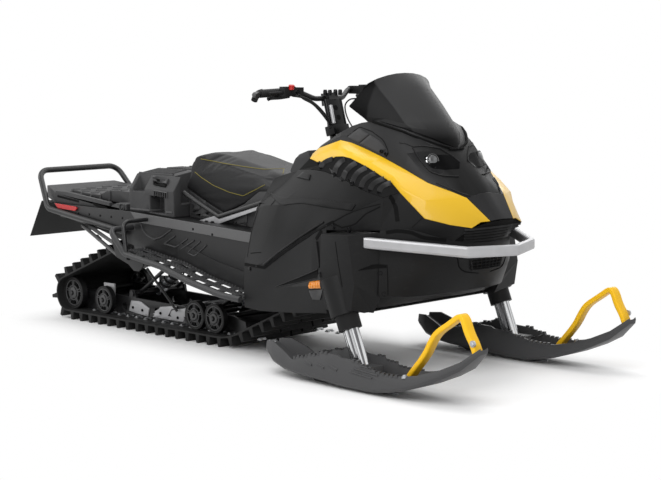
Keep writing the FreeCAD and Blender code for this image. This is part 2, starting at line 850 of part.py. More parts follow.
def make_spring_legs():
    front = spring_leg((front_pivot_x, front_pivot_z), (front_foot_x, front_foot_z))
    rear = spring_leg((rear_pivot_x, rear_pivot_z), (rear_foot_x, rear_foot_z))
    return Part.makeCompound([front, rear])


def tunnel_outline():
    """Side view of the tunnel wall."""
    return [
        (tunnel_rear, tunnel_top(tunnel_rear)),
        (tunnel_mid, tunnel_top(tunnel_mid)),
        (tunnel_front, tunnel_top(tunnel_front)),
        (tunnel_front, belly_height),
        (board_front(), board_height(board_front())),
        (tunnel_mid, board_height(tunnel_mid)),
        (tunnel_mid - deck_half_width, tunnel_rear_height - 2 * deck_height),
        (tunnel_rear, tunnel_rear_height - deck_height)]


def board_marks():
    span = tunnel_front - tunnel_mid
    return [(tunnel_mid + a * span, b * crown_height) for a, b in board_line_shares]


def board_front():
    return board_marks()[-1][0]


def board_height(x):
    """Height of the running board's lower face along the length."""
    marks = board_marks()
    for (xa, za), (xb, zb) in zip(marks, marks[1:]):
        if x <= xb:
            break
    return za + (zb - za) * (x - xa) / (xb - xa)


def make_tunnel():
    whole = slab(tunnel_outline(), -tunnel_half_width, tunnel_half_width)
    inside = [(tunnel_rear - overrun, tunnel_top(tunnel_rear) - tunnel_wall),
              (tunnel_mid, tunnel_top(tunnel_mid) - tunnel_wall),
              (tunnel_front - tunnel_wall, tunnel_top(tunnel_front) - tunnel_wall),
              (tunnel_front - tunnel_wall, ground),
              (tunnel_rear - overrun, ground)]
    inner_half = tunnel_half_width - tunnel_wall
    shell = whole.cut(slab(inside, -inner_half, inner_half))
    tab_half = carrier_radius
    tabs = []
    for side in (-1, 1):
        low = min(side * tunnel_half_width, side * inner_half)
        tab = slab([(carrier_x - tab_half, board_height(carrier_x) + tab_half),
                    (carrier_x + tab_half, board_height(carrier_x) + tab_half),
                    (carrier_x + eye_radius, carrier_z - eye_radius),
                    (carrier_x - eye_radius, carrier_z - eye_radius)],
                   low, low + tunnel_wall)
        tabs.append(tab)
    return shell.fuse(tabs).removeSplitter()


def make_side_strips():
    """Raised strips along the tunnel's upper edge."""
    outline = [(strip_rear, tunnel_top(strip_rear) - fit),
               (strip_front, tunnel_top(strip_front) - fit),
               (strip_front, tunnel_top(strip_front) - strip_height),
               (strip_rear + strip_height, tunnel_top(strip_rear) - strip_height)]
    low = tunnel_half_width
    return both(slab(outline, low, low + strip_thickness))


def make_running_boards():
    """Perforated boards, each with a tube along its outer edge."""
    x0 = board_marks()[0][0]
    x1 = board_front()
    upper = [(x, z + board_wall) for x, z in board_marks()]
    outline = board_marks() + list(reversed(upper))
    plate = slab(outline, tunnel_half_width, board_outer)
    panel_rear = hull(side_foot_shares[0]).x
    trim = box(V(panel_rear, board_inner_front, ground),
               V(x1 + overrun, board_outer + overrun, crown_height))
    plate = plate.cut(trim)
    for k in range(board_slot_count):
        x = board_slot_start + k * board_slot_pitch
        for share in board_slot_shares:
            y = tunnel_half_width + share * (board_outer - tunnel_half_width)
            hole = box(V(x, y - board_slot_width / 2, ground),
                       V(x + board_slot_length, y + board_slot_width / 2, crown_height))
            plate = plate.cut(hole)
    rail_x = [x for x, _ in board_marks()[1:4]]
    kick_z = board_height(x0) + board_kick_height
    points = [V(x0 - board_kick - board_tube_radius,
                tunnel_half_width + board_tube_radius, kick_z),
              V(x0 - board_kick, board_outer, kick_z),
              V(x0 + board_kick, board_outer, board_height(x0 + board_kick) + board_wall / 2)]
    points += [V(x, board_outer, board_height(x) + board_wall / 2) for x in rail_x]
    points.append(V(panel_rear - seat_gap, board_outer,
                    board_height(panel_rear) + board_wall / 2))
    edge = tube(points, board_tube_radius, board_tube_radius * 3)
    return both(plate.fuse(edge).removeSplitter())


def make_board_struts(boards):
    """Gusset under the rear end of each board, and two braces up to the tunnel."""
    x0 = board_marks()[0][0]
    z0 = board_height(x0)
    outline = [(x0 - board_kick + a * gusset_length, z0 + b * gusset_depth)
               for a, b in gusset_shares]
    low = board_outer - frame_plate / 2
    gusset = slab(outline, low, low + frame_plate)
    radius = frame_tube_radius - board_wall / 2
    wall_y = tunnel_half_width + radius
    top = tunnel_rear_height - 2 * deck_height
    start = V(outline[1][0] + radius, board_outer - radius, outline[1][1])
    end = V(start.x - brace_reach, wall_y, top + radius)
    upper = V(outline[0][0] + 3 * radius, board_outer - radius, z0 + board_kick_height / 3)
    upper_end = V(end.x + board_kick, wall_y, top + radius)
    braces = [rod(start, end, radius), rod(upper, upper_end, radius)]
    return both(gusset.fuse(braces)).cut(boards)


def make_toe_loops(boards):
    """Upright loops between the tunnel's edge and the boards' outer tubes."""
    top = tunnel_top(toe_loop_x) - strip_height / 2
    foot = V(toe_loop_x + toe_loop_length, board_outer, board_height(toe_loop_x))
    points = [V(toe_loop_x, tunnel_half_width + strip_thickness, top),
              V(toe_loop_x, board_outer - toe_loop_length / 3, top), foot]
    return both(tube(points, toe_loop_radius, toe_loop_length)).cut(boards)


def hoop_points():
    side = tunnel_half_width + hoop_radius + seat_gap
    low = tunnel_rear_height - 2 * deck_height
    foot = V(tunnel_mid - strip_height / 2, side, low)
    knee = V(tunnel_rear - 2 * hoop_radius, side, tunnel_rear_height - 2 * hoop_radius)
    head = V(hoop_rear, hoop_half_width, hoop_height)
    return [foot, knee, head]


def make_rear_hoop():
    half = hoop_points()
    points = half + [flip(p) for p in reversed(half)]
    return tube(points, hoop_radius, hoop_bend)


def deck_outline(shares):
    """Side view from shares of the deck's length and of its height above the tunnel."""
    outline = []
    for a, b in shares:
        x = deck_rear + a * (deck_front - deck_rear)
        outline.append((x, tunnel_top(max(x, tunnel_rear)) + b * deck_height))
    return outline


def make_rear_deck():
    """Tray on the tunnel behind the cargo box, with side rails and a raised middle."""
    tray = slab(deck_outline(deck_shares), -deck_half_width, deck_half_width)
    pad = slab(deck_outline(deck_pad_shares), -deck_pad_half_width, deck_pad_half_width)
    rails = both(slab(deck_outline(deck_rail_shares), deck_half_width - deck_rail_width,
                      deck_half_width))
    return tray.fuse([pad, rails]).cut(deck_corners()).removeSplitter()


def deck_corners():
    """Wedges that narrow the tail between the sides of the grab hoop."""
    corner = [V(deck_rear - overrun, deck_corner_half_width, ground),
              V(tunnel_rear, deck_half_width + overrun, ground),
              V(deck_rear - overrun, deck_half_width + overrun, ground)]
    return both(polygon_face(corner).extrude(V(0, 0, crown_height)))


def make_snow_flap():
    """Thin flap that hangs behind the deck."""
    root = tunnel_rear_height
    outline = [(tunnel_rear, root), (deck_rear - flap_wall, root),
               (flap_rear, flap_bottom), (flap_rear + flap_wall, flap_bottom),
               (deck_rear, root - flap_wall), (tunnel_rear, root - flap_wall)]
    return slab(outline, -flap_half_width, flap_half_width)


def make_tail_lamps():
    """Wedge-shaped lamp on each side of the tunnel's rear end."""
    rear = tunnel_rear + lamp_setback
    top = tunnel_rear_height - fit
    outline = [(rear + a * lamp_length, top - b * lamp_height) for a, b in tail_lamp_shares]
    return both(slab(outline, tunnel_half_width, tunnel_half_width + lamp_depth))


def make_tow_hitch():
    """Flat tongue with an upright bore under the tail."""
    top = tunnel_rear_height - deck_height
    low = V(deck_rear - hitch_length / 4, -hitch_width / 2, top - hitch_height)
    high = V(tunnel_rear + hitch_length, hitch_width / 2, top)
    tongue = box(low, high)
    bore_x = low.x + hitch_width / 3
    bore = rod(V(bore_x, 0, low.z - overrun), V(bore_x, 0, high.z + overrun),
               hitch_bore_radius)
    half = tunnel_half_width - tunnel_wall
    cross = box(V(tunnel_rear + hitch_length / 2, -half, top - hitch_height),
                V(tunnel_rear + hitch_length, half, top))
    return tongue.fuse(cross).cut(bore).removeSplitter()


def make_cargo_box():
    base = [(box_rear, tunnel_top(box_rear)), (tunnel_mid, tunnel_top(tunnel_mid)),
            (box_front, tunnel_top(box_front)),
            (box_front, box_shoulder_height), (box_rear, box_shoulder_height)]
    body = slab(base, -box_half_width, box_half_width)
    shoulder = box_half_width - box_cheek
    lid = [V(box_rear, -box_half_width, box_shoulder_height),
           V(box_rear, -shoulder, box_top_height - box_cheek / 3),
           V(box_rear, -shoulder / 2, box_top_height),
           V(box_rear, shoulder / 2, box_top_height),
           V(box_rear, shoulder, box_top_height - box_cheek / 3),
           V(box_rear, box_half_width, box_shoulder_height)]
    body = body.fuse(polygon_face(lid).extrude(V(box_front - box_rear, 0, 0)))
    room = box(V(box_front_inner, -shoulder, tunnel_mid_height + box_cheek),
               V(box_front + overrun, shoulder, box_top_height + overrun))
    recess_front = box_front - box_recess_setback
    notch_rear = box_rear + box_notch_setback
    slot_z = box_shoulder_height + box_cheek / 2
    pockets = [room]
    for side in (-1, 1):
        outer = side * (box_half_width + overrun)
        for x, length, depth, low_z, high_z in (
                (recess_front - box_recess_length, box_recess_length, box_recess_depth,
                 box_recess_base, box_recess_base + box_recess_height),
                (notch_rear, box_notch_length, box_cheek,
                 box_shoulder_height - box_cheek / 4, box_top_height),
                (recess_front - box_recess_length, box_slot_length, box_cheek,
                 slot_z, slot_z + box_slot_height)):
            inner = side * (box_half_width - depth)
            pockets.append(box(V(x, min(outer, inner), low_z),
                               V(x + length, max(outer, inner), high_z)))
    return body.cut(pockets).removeSplitter()


def seat_z(share):
    return tunnel_mid_height + share * seat_rise


def seat_ring(x_share, lean, top, seam, low, skirt):
    """Flat section of the seat, whose top may lean forwards of its skirt."""
    marks = [(0, top), (seat_top_y_share, top - seat_crown_drop_share),
             (seat_seam_y_share, seam - seat_seam_drop_share),
             (seat_low_y_share, low), (seat_skirt_y_share, skirt), (0, skirt)]
    left = []
    for y, z in marks:
        x = seat_rear + (x_share + lean * (z - skirt) / (top - skirt)) * seat_length
        left.append(V(x, y * seat_half_width, seat_z(z)))
    return left + [flip(p) for p in reversed(left[1:-1])]


def seat_skirt():
    """Lower edge of the seat from the rear forwards."""
    return [(seat_rear + section[0] * seat_length, seat_z(section[-1]))
            for section in seat_section_shares]


def make_seat():
    return rings_solid([seat_ring(*section) for section in seat_section_shares])


def make_fuel_tank():
    """Tank under the seat, which carries seat and console."""
    skirt = [(x, z - seat_gap) for x, z in seat_skirt()]
    (xa, za), (xb, zb) = skirt[:2]
    rear_top = za + (zb - za) * (tank_rear - xa) / (xb - xa)
    shelf = console_foot_share * crown_height
    outline = [(tank_rear, tunnel_top(tank_rear)), (tank_rear, rear_top)]
    outline += [mark for mark in skirt if mark[0] > tank_rear]
    outline += [(skirt[-1][0], shelf), (tank_front, shelf),
                (tank_front, tunnel_top(tank_front))]
    return slab(outline, -tank_half_width, tank_half_width)


def steer_way():
    lean = math.radians(steer_lean)
    return V(-math.sin(lean), 0, math.cos(lean))


def steer_base():
    return V(steer_x, 0, steer_z)


def make_console():
    rear = seat_skirt()[-1][0] + seat_gap
    foot = console_foot_share * crown_height
    crest = [(hull_rear + a * hull_length, b * crown_height) for a, b in console_shares]
    outline = [(rear, foot), (rear, console_rear_share * crown_height)] + crest
    outline.append((crest[-1][0], foot))
    block = slab(outline, -console_half_width, console_half_width)
    way = steer_way()
    bore = rod(steer_base() - way * post_below, steer_base() + way * post_above,
               post_radius + fit)
    return block.cut(bore)


def frame_head():
    return V(steer_x - 2 * console_half_width / 3, frame_y,
             seat_skirt()[5][1] - frame_tube_radius)


def make_seat_frame():
    """Tubes beside the tank, between the box and the side panels."""
    skirt = seat_skirt()
    rear = V(tank_rear, frame_y, skirt[1][1])
    foot_x, foot_z = skirt[3]
    foot = V(foot_x, frame_y, foot_z - frame_tube_radius)
    front = rod(foot, frame_head(), frame_tube_radius)
    back = rod(rear, foot, frame_tube_radius)
    return both(front.fuse(back))


def make_frame_plates(tubes):
    """Plates that carry the tubes' lower ends on the tunnel."""
    low = frame_y - frame_plate / 2
    foot_x, _ = seat_skirt()[3]
    head = frame_head()
    low_x = foot_x - 2 * frame_y / 3
    plate = slab([(low_x, tunnel_top(low_x) + fit), (foot_x, tunnel_top(foot_x) + fit),
                  (head.x, head.z - 2 * frame_tube_radius), (head.x, head.z)],
                 low, low + frame_plate)
    return both(plate).cut(tubes)


def make_engine():
    half = engine_half_width_share * hull_half_width
    rear = tunnel_front + engine_setback
    front = hull_rear + engine_front_share * hull_length
    return box(V(rear, -half, belly_height + belly_wall),
               V(front, half, engine_top_share * crown_height))


def make_side_panel():
    count = len(side_split_shares)
    rows = [hull_row(side_split_shares), hull_row(side_waist_shares), hull_row(side_top_shares)]
    return skin([row[:count] for row in rows], panel_wall)


def make_lower_panel():
    count = len(side_foot_shares)
    rows = [hull_row(side_foot_shares), hull_row(side_crest_shares),
            hull_row(side_ledge_shares), hull_row(side_split_shares)[:count]]
    return skin(rows, panel_wall)


def make_louvres():
    top = hull_row(band_foot_shares)[:8]
    foot = hull_row(side_top_shares)[1:]
    return skin([foot + foot[-1:], top], panel_wall)


def make_hood_band():
    rows = [hull_row(band_foot_shares), hull_row(band_crease_shares), hull_row(band_top_shares)]
    return skin(rows, panel_wall)


def hood_rows():
    edge = hull_row(band_top_shares)
    pod = hull_row(hood_pod_shares)
    shoulder = hull_row(hood_shoulder_shares)
    spine = hull_row(hood_spine_shares)
    other = [[flip(p) for p in row] for row in (shoulder, pod, edge)]
    return [edge, pod, shoulder, spine] + other


def make_hood():
    return skin([row[:-1] for row in hood_rows()], panel_wall)


def make_nose_plate():
    return skin([row[-2:] for row in hood_rows()], panel_wall)


def side_prism(shares, inner_share, outer_share):
    """Outline in side view, drawn out to both sides of the hull."""
    outline = [(hull_rear + a * hull_length, b * crown_height) for a, b in shares]
    return both(slab(outline, inner_share * hull_half_width, outer_share * hull_half_width))


def fascia_rows():
    foot = hull_row(fascia_foot_shares)
    split = hull_row(side_split_shares)[5:]
    band = hull_row(band_foot_shares)[7:]
    top = split + band + hull_row(nose_edge_shares)
    return foot, top


def make_fascia():
    foot, top = fascia_rows()
    return skin([foot[:7], top[:7]], panel_wall)


def make_nose_grille():
    foot, top = fascia_rows()
    return skin([across(foot[6:]), across(top[6:])], panel_wall)


def make_front_pan():
    foot, _ = fascia_rows()
    floor = belly_height + belly_wall
    base = [V(hull_rear + a * hull_length, b * hull_half_width, floor)
            for a, b in pan_foot_shares]
    rows = [base, hull_row(pan_chin_shares), hull_row(pan_waist_shares), foot[2:]]
    return skin([across(row) for row in rows], panel_wall)


def make_belly_pan(lower_panels):
    rear = tunnel_front
    front = hull_rear + belly_front_share * hull_length
    half = tower_inner_y_share * hull_half_width
    plate = box(V(rear, -half, belly_height), V(front, half, belly_height + belly_wall))
    wing_front = hull_rear + tower_rear_share * hull_length
    wings = box(V(rear, -hull_half_width, belly_height),
                V(wing_front, hull_half_width, belly_height + belly_wall))
    return largest(plate.fuse(wings).cut(lower_panels).removeSplitter())


def leg_way():
    rake = math.radians(leg_rake)
    return V(-math.sin(rake), 0, math.cos(rake))


def leg_foot():
    return V(leg_foot_x, stance_half, leg_foot_z)


def make_tower():
    """Cover and bearing housing of the left ski leg."""
    rings = []
    for y_share, shares in ((tower_outer_y_share, tower_outer_shares),
                            (tower_inner_y_share, tower_inner_shares)):
        rings.append([V(hull_rear + a * hull_length, y_share * hull_half_width,
                        b * crown_height) for a, b in shares])
    cover = rings_solid(rings)
    way = leg_way()
    start = leg_foot() + way * housing_low
    collar_start = leg_foot() + way * collar_low
    housing = rod(start, start + way * housing_length, housing_radius)
    collar = rod(collar_start, start + way * overrun, collar_radius)
    bore = rod(collar_start - way * overrun, leg_foot() + way * (leg_travel_length + overrun),
               leg_radius + fit)
    return cover.fuse([housing, collar]).cut(bore)


def make_leg():
    """Leg with two round lobes below the tower's collar, turning in its bore."""
    way = leg_way()
    foot = leg_foot()
    shoulder = collar_low - seat_gap
    shaft = rod(foot, foot + way * leg_travel_length, leg_radius)
    forward = V(way.z, 0, -way.x)
    lobes = []
    for side in (-1, 1):
        base = foot + forward * (side * leg_lobe_offset)
        lobes.append(rod(base - way * saddle_height, base + way * shoulder,
                         leg_radius - leg_lobe_offset / 3))
    whole = shaft.fuse(lobes)
    trim = box(V(leg_foot_x - hull_half_width, ground, ground),
               V(leg_foot_x + hull_half_width, 2 * hull_half_width, saddle_top()))
    return largest(whole.cut(trim))


def ski_x(share):
    return ski_tail + share * ski_length


def ski_height(share, column):
    """Height between stations, of the lower face (1) or of the floor (3)."""
    for low, high in zip(ski_shares, ski_shares[1:]):
        if share <= high[0]:
            break
    along = (share - low[0]) / (high[0] - low[0])
    return (low[column] + (high[column] - low[column]) * along) * crown_height


def saddle_share():
    return (leg_foot_x + saddle_length / 6 - ski_tail) / ski_length


def saddle_top():
    return ski_height(saddle_share(), 3) + saddle_height


def ski_ring(share, low, width, floor, top):
    """Closed section: bottom, outer corner, wall top and floor, then mirrored."""
    half = width * ski_half_width
    low_z = low * crown_height
    marks = [(ski_bottom_share, low_z), (1, low_z + ski_edge_rise),
             (ski_wall_top_share, top * crown_height),
             (ski_wall_inner_share, top * crown_height),
             (ski_floor_share, floor * crown_height)]
    left = [V(ski_x(share), stance_half + y * half, z) for y, z in marks]
    right = [V(ski_x(share), stance_half - y * half, z) for y, z in reversed(marks)]
    return left + right


def make_ski():
    """Boat-shaped ski with stepped side walls, a keel and the leg's saddle."""
    blade = rings_solid([ski_ring(*station) for station in ski_shares])
    keel_outline = []
    for share in keel_shares:
        keel_outline.append((ski_x(share), ski_height(share, 1) + overrun))
    keel_outline += [(ski_x(keel_shares[2]), ground), (ski_x(keel_shares[1]), ground)]
    keel = slab(keel_outline, stance_half - keel_half_width, stance_half + keel_half_width)
    middle = ski_x(saddle_share())
    base = ski_height(saddle_share(), 3) - overrun
    saddle = box(V(middle - saddle_length / 2, stance_half - saddle_half_width, base),
                 V(middle + saddle_length / 2, stance_half + saddle_half_width, saddle_top()))
    return blade.fuse([keel, saddle]).removeSplitter()


def band_outline(marks, thickness):
    """Outline of a band of one thickness on the inner side of a line of marks."""
    inner = []
    for k, mark in enumerate(marks):
        leave = marks[min(k + 1, len(marks) - 1)] - mark
        arrive = mark - marks[max(k - 1, 0)]
        arrive = arrive if k else leave
        leave = leave if leave.Length else arrive
        turn = arrive.getAngle(leave)
        way = arrive.normalize() + leave.normalize()
        inwards = V(way.z, 0, -way.x).normalize()
        inner.append(mark + inwards * (thickness / math.cos(turn / 2)))
    return [(p.x, p.z) for p in list(marks) + list(reversed(inner))]


def make_ski_loop():
    """Flat strap bent into the handle above the ski's nose."""
    marks = [V(ski_x(a), 0, b * crown_height) for a, b in loop_path_shares]
    strap = slab(band_outline(marks, loop_thickness), stance_half - loop_half_width,
                 stance_half + loop_half_width)
    return largest(strap.cut(make_ski()))


def make_bumper():
    """Flat-faced bar bent into a shallow V, mitred at its corners."""
    path = [hull(share) for share in bumper_path_shares]
    path = path + [flip(p) for p in reversed(path[:-1])]
    rings = []
    for k, point in enumerate(path):
        before = path[max(k - 1, 0)]
        after = path[min(k + 1, len(path) - 1)]
        arrive = V(point.x - before.x, point.y - before.y, 0)
        leave = V(after.x - point.x, after.y - point.y, 0)
        arrive = arrive if arrive.Length else leave
        leave = leave if leave.Length else arrive
        arrive.normalize()
        leave.normalize()
        inward = V(leave.y + arrive.y, -leave.x - arrive.x, 0)
        inward.normalize()
        inward = inward * (bumper_depth / math.cos(arrive.getAngle(leave) / 2))
        if (core(point) - point).dot(inward) < 0:
            inward = inward * -1
        rise = V(0, 0, bumper_height / 2)
        rings.append([point - rise, point + rise, point + rise + inward,
                      point - rise + inward])
    return rings_solid(rings)


def make_windscreen():
    rows = [hull_row(screen_top_shares), hull_row(screen_brow_shares),
            hull_row(screen_high_shares), hull_row(screen_low_shares),
            hull_row(screen_foot_shares)]
    return skin([across(row) for row in rows], screen_wall)


def bar_points():
    """Route of the left half of the bar from its middle to the hooked end."""
    way = steer_way()
    centre = steer_base() + way * post_above
    points = []
    for back, out, rise in bar_route_shares:
        points.append(centre + V(-back * bar_reach, out * bar_reach, rise * bar_reach))
    return points


def make_bar():
    half = bar_points()
    path = [flip(p) for p in reversed(half[1:])] + half[1:]
    return tube(path, bar_radius, bar_bend)


def make_steering_post():
    """Post in its bush with the clamp block that holds the bar."""
    way = steer_way()
    base = steer_base()
    shaft = rod(base - way * (post_below - overrun), base + way * post_above, post_radius)
    block = Part.makeBox(riser_depth * 2, riser_half_width * 2, riser_height)
    block.translate(V(-riser_depth, -riser_half_width, post_above - riser_height / 2))
    block.rotate(V(0, 0, 0), V(0, 1, 0), -steer_lean)
    block.translate(base)
    yoke = Part.makeBox(riser_depth, riser_half_width * 2, riser_height / 2)
    yoke.translate(V(-riser_depth / 2, -riser_half_width, 0))
    yoke.rotate(V(0, 0, 0), V(0, 1, 0), -steer_lean)
    yoke.translate(base)
    posts = []
    for side in (-1, 1):
        aside = V(0, side * (riser_half_width - post_radius / 2), 0)
        posts.append(rod(base + aside, base + aside + way * post_above, post_radius / 2))
    return shaft.fuse([block, yoke] + posts).cut(make_bar()).removeSplitter()


def grip_line():
    """Inner and outer end of the left grip on the bar's straight end."""
    inner, outer = bar_points()[-3:-1]
    way = (outer - inner).normalize()
    end = outer - way * bar_bend
    return end - way * grip_length, end, way


def make_grips():
    start, end, way = grip_line()
    sleeve = rod(start, end, grip_radius).cut(rod(start - way * overrun, end + way * overrun,
                                                  bar_radius + fit))
    return both(sleeve)


def make_controls():
    """Switch blocks inside the grips, each with a lever reaching along its grip."""
    start, end, way = grip_line()
    inner = start - way * (control_length + seat_gap)
    body = rod(inner, start - way * seat_gap, control_height / 2)
    lobe = box(inner + V(0, 0, -control_height / 2),
               inner + V(control_depth * 2, control_length / 2, control_height / 2))
    lever_start = inner + V(lever_gap, control_length / 4, 0)
    lever_end = lever_start + way * (grip_length + control_length / 2)
    lever = rod(lever_start, lever_end, lever_radius)
    neck = rod(inner + V(0, control_length / 4, 0), lever_start, lever_radius)
    whole = body.fuse([lobe, neck, lever])
    whole = whole.cut(rod(inner - way * bar_reach, end + way * overrun, bar_radius + fit))
    return both(largest(whole))


def make_cables(controls):
    """Cable from each switch block along the bar and down beside the post."""
    start, _, way = grip_line()
    block = start - way * (control_length + seat_gap) + V(cable_ahead, 0, 0)
    _, near, outer = bar_points()[:3]
    ahead = V(cable_ahead, 0, -bar_radius)
    turn = V(near.x, riser_half_width + cable_bend, near.z) + ahead
    foot = steer_base() + steer_way() * cable_low
    end = V(foot.x + cable_ahead, turn.y, foot.z)
    return both(tube([block, outer + ahead, turn, end], cable_radius, cable_bend)).cut(controls)


def export(name, shape):
    shape.exportStep(os.path.join("parts", name + ".step"))


def main():
    os.makedirs("parts", exist_ok=True)
    hood = make_hood()
    lens = side_prism(lamp_outline_shares, 0.0, tower_inner_y_share)
    boards = make_running_boards()
    seat_frame = make_seat_frame()
    controls = make_controls()
    bumper = make_bumper()
    towers = both(make_tower()).cut(bumper)
    lower_panels = both(make_lower_panel()).cut(towers)
    reflector = side_prism(reflector_shares, tower_inner_y_share, tower_outer_y_share)
    pieces = {
        "track": make_track(),
        "slide_rails": make_slide_rails(),
        "idler_wheels": make_idler_wheels(),
        "bogie_wheels": make_bogie_wheels(),
        "carrier_wheels": make_carrier_wheels(),
        "drive_axle": make_drive_axle(),
        "suspension_arms": make_suspension_arms(),
        "spring_legs": make_spring_legs(),
        "tunnel": make_tunnel(),
        "side_strips": make_side_strips(),
        "running_boards": boards,
        "board_struts": make_board_struts(boards),
        "toe_loops": make_toe_loops(boards),
        "rear_hoop": make_rear_hoop(),
        "rear_deck": make_rear_deck(),
        "snow_flap": make_snow_flap(),
        "tail_lamps": make_tail_lamps(),
        "tow_hitch": make_tow_hitch(),
        "cargo_box": make_cargo_box(),
        "seat": make_seat(),
        "fuel_tank": make_fuel_tank(),
        "console": make_console(),
        "seat_frame": seat_frame,
        "frame_plates": make_frame_plates(seat_frame),
        "engine": make_engine(),
        "side_panels": both(make_side_panel()),
        "lower_panels": lower_panels.cut(reflector),
        "reflectors": lower_panels.common(reflector),
        "louvres": both(make_louvres()),
        "hood_bands": both(make_hood_band()),
        "hood": hood.cut(lens),
        "headlamps": hood.common(lens),
        "fascia": both(make_fascia()),
        "nose_plate": make_nose_plate(),
        "nose_grille": make_nose_grille(),
        "front_pan": largest(make_front_pan().cut(towers)),
        "belly_pan": make_belly_pan(lower_panels),
        "towers": towers,
        "bumper": bumper,
        "windscreen": largest(make_windscreen().cut(hood)),
        "steering_post": make_steering_post(),
        "handlebar": make_bar(),
        "grips": make_grips(),
        "controls": controls,
        "cables": make_cables(controls),
        "ski_leg_left": make_leg(),
        "ski_leg_right": mirrored(make_leg()),
        "ski_left": make_ski(),
        "ski_right": mirrored(make_ski()),
        "ski_loop_left": make_ski_loop(),
        "ski_loop_right": mirrored(make_ski_loop()),
    }
    for name, shape in pieces.items():
        print(name, "valid", shape.isValid(), "solids", len(shape.Solids),
              "volume", round(shape.Volume))
        export(name, shape)


main()
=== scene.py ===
import json
import math

import bmesh
import bpy
from bpy.props import FloatProperty, FloatVectorProperty, IntProperty, PointerProperty
from mathutils import Matrix, Vector
from mathutils.bvhtree import BVHTree

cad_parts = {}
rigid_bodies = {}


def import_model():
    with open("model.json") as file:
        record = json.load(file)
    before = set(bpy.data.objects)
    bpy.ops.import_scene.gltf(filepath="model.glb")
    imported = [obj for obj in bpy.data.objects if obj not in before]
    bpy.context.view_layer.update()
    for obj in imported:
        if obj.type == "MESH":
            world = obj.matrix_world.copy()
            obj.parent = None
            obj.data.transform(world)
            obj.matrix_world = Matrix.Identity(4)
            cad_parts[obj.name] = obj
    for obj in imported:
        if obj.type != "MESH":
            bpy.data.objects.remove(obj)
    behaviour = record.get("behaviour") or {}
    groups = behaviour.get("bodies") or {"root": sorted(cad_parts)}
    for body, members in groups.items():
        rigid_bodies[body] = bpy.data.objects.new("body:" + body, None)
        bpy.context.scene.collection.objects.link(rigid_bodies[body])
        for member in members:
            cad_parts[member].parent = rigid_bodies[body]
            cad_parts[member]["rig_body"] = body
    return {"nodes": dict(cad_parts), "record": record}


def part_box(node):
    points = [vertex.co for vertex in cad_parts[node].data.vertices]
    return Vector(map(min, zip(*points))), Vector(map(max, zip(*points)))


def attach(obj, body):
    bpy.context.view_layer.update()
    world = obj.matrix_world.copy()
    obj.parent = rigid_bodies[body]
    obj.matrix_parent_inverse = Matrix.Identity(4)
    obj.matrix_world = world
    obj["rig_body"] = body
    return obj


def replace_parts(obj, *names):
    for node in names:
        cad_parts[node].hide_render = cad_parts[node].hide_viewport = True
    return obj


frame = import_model()

bl_info = {
    "name": "Utility Snowmobile",
    "version": (1, 1, 0),
    "blender": (4, 5, 0),
    "location": "View3D > Sidebar > Snowmobile",
    "description": "Finishes and fine pieces of a utility snowmobile around its packed frame",
    "category": "Add Mesh",
}

nodes = frame["nodes"]


class SnowmobileColours(bpy.types.PropertyGroup):
    """Colours of the finishes, as linear values."""

    band: FloatVectorProperty(
        name="Band", description="Painted hood bands", subtype="COLOR",
        default=(0.76, 0.455, 0.010))
    panel: FloatVectorProperty(
        name="Side panels", description="Satin side panels", subtype="COLOR",
        default=(0.0135, 0.0135, 0.0138))
    body: FloatVectorProperty(
        name="Body", description="Moulded black bodywork", subtype="COLOR",
        default=(0.0100, 0.0100, 0.0103))
    cover: FloatVectorProperty(
        name="Covers", description="Lighter grey covers on the hood", subtype="COLOR",
        default=(0.034, 0.034, 0.035))
    silver: FloatVectorProperty(
        name="Silver", description="Satin silver metal", subtype="COLOR",
        default=(0.42, 0.42, 0.43))
    strap: FloatVectorProperty(
        name="Loops", description="Moulded ski loops", subtype="COLOR",
        default=(0.88, 0.50, 0.010))
    thread: FloatVectorProperty(
        name="Thread", description="Stitching of the seat cover", subtype="COLOR",
        default=(0.20, 0.165, 0.012))


class SnowmobileSizes(bpy.types.PropertyGroup):
    """Sizes of the fine forms."""

    steps: IntProperty(
        name="Edge steps", description="Faces across a rounded edge", default=2)
    grain: FloatProperty(
        name="Grain", description="Size of the moulded surface grain", subtype="DISTANCE",
        unit="LENGTH", default=0.0011)
    seam: FloatProperty(
        name="Seam", description="Width of a seam between panels", subtype="DISTANCE",
        unit="LENGTH", default=0.0035)
    bolt: FloatProperty(
        name="Bolt", description="Radius of a usual bolt head", subtype="DISTANCE",
        unit="LENGTH", default=0.0065)
    thread: FloatProperty(
        name="Thread", description="Width of the seat's stitching", subtype="DISTANCE",
        unit="LENGTH", default=0.0030)
    voxel: FloatProperty(
        name="Seat mesh", description="Size of the faces of the seat while it is padded",
        subtype="DISTANCE", unit="LENGTH", default=0.0060)


def colours():
    return bpy.context.scene.snowmobile_colours


def sizes():
    return bpy.context.scene.snowmobile_sizes


class Signal:
    """A shader socket that takes part in sums, products and powers."""

    def __init__(self, finish, socket):
        self.finish = finish
        self.socket = socket

    def math(self, operation, first, second=0.0):
        return self.finish.math(operation, first, second)

    def __add__(self, other):
        return self.math("ADD", self, other)

    def __sub__(self, other):
        return self.math("SUBTRACT", self, other)

    def __rsub__(self, other):
        return self.math("SUBTRACT", other, self)

    def __mul__(self, other):
        return self.math("MULTIPLY", self, other)

    def __truediv__(self, other):
        return self.math("DIVIDE", self, other)

    def most(self, other):
        return self.math("MAXIMUM", self, other)

    __radd__ = __add__


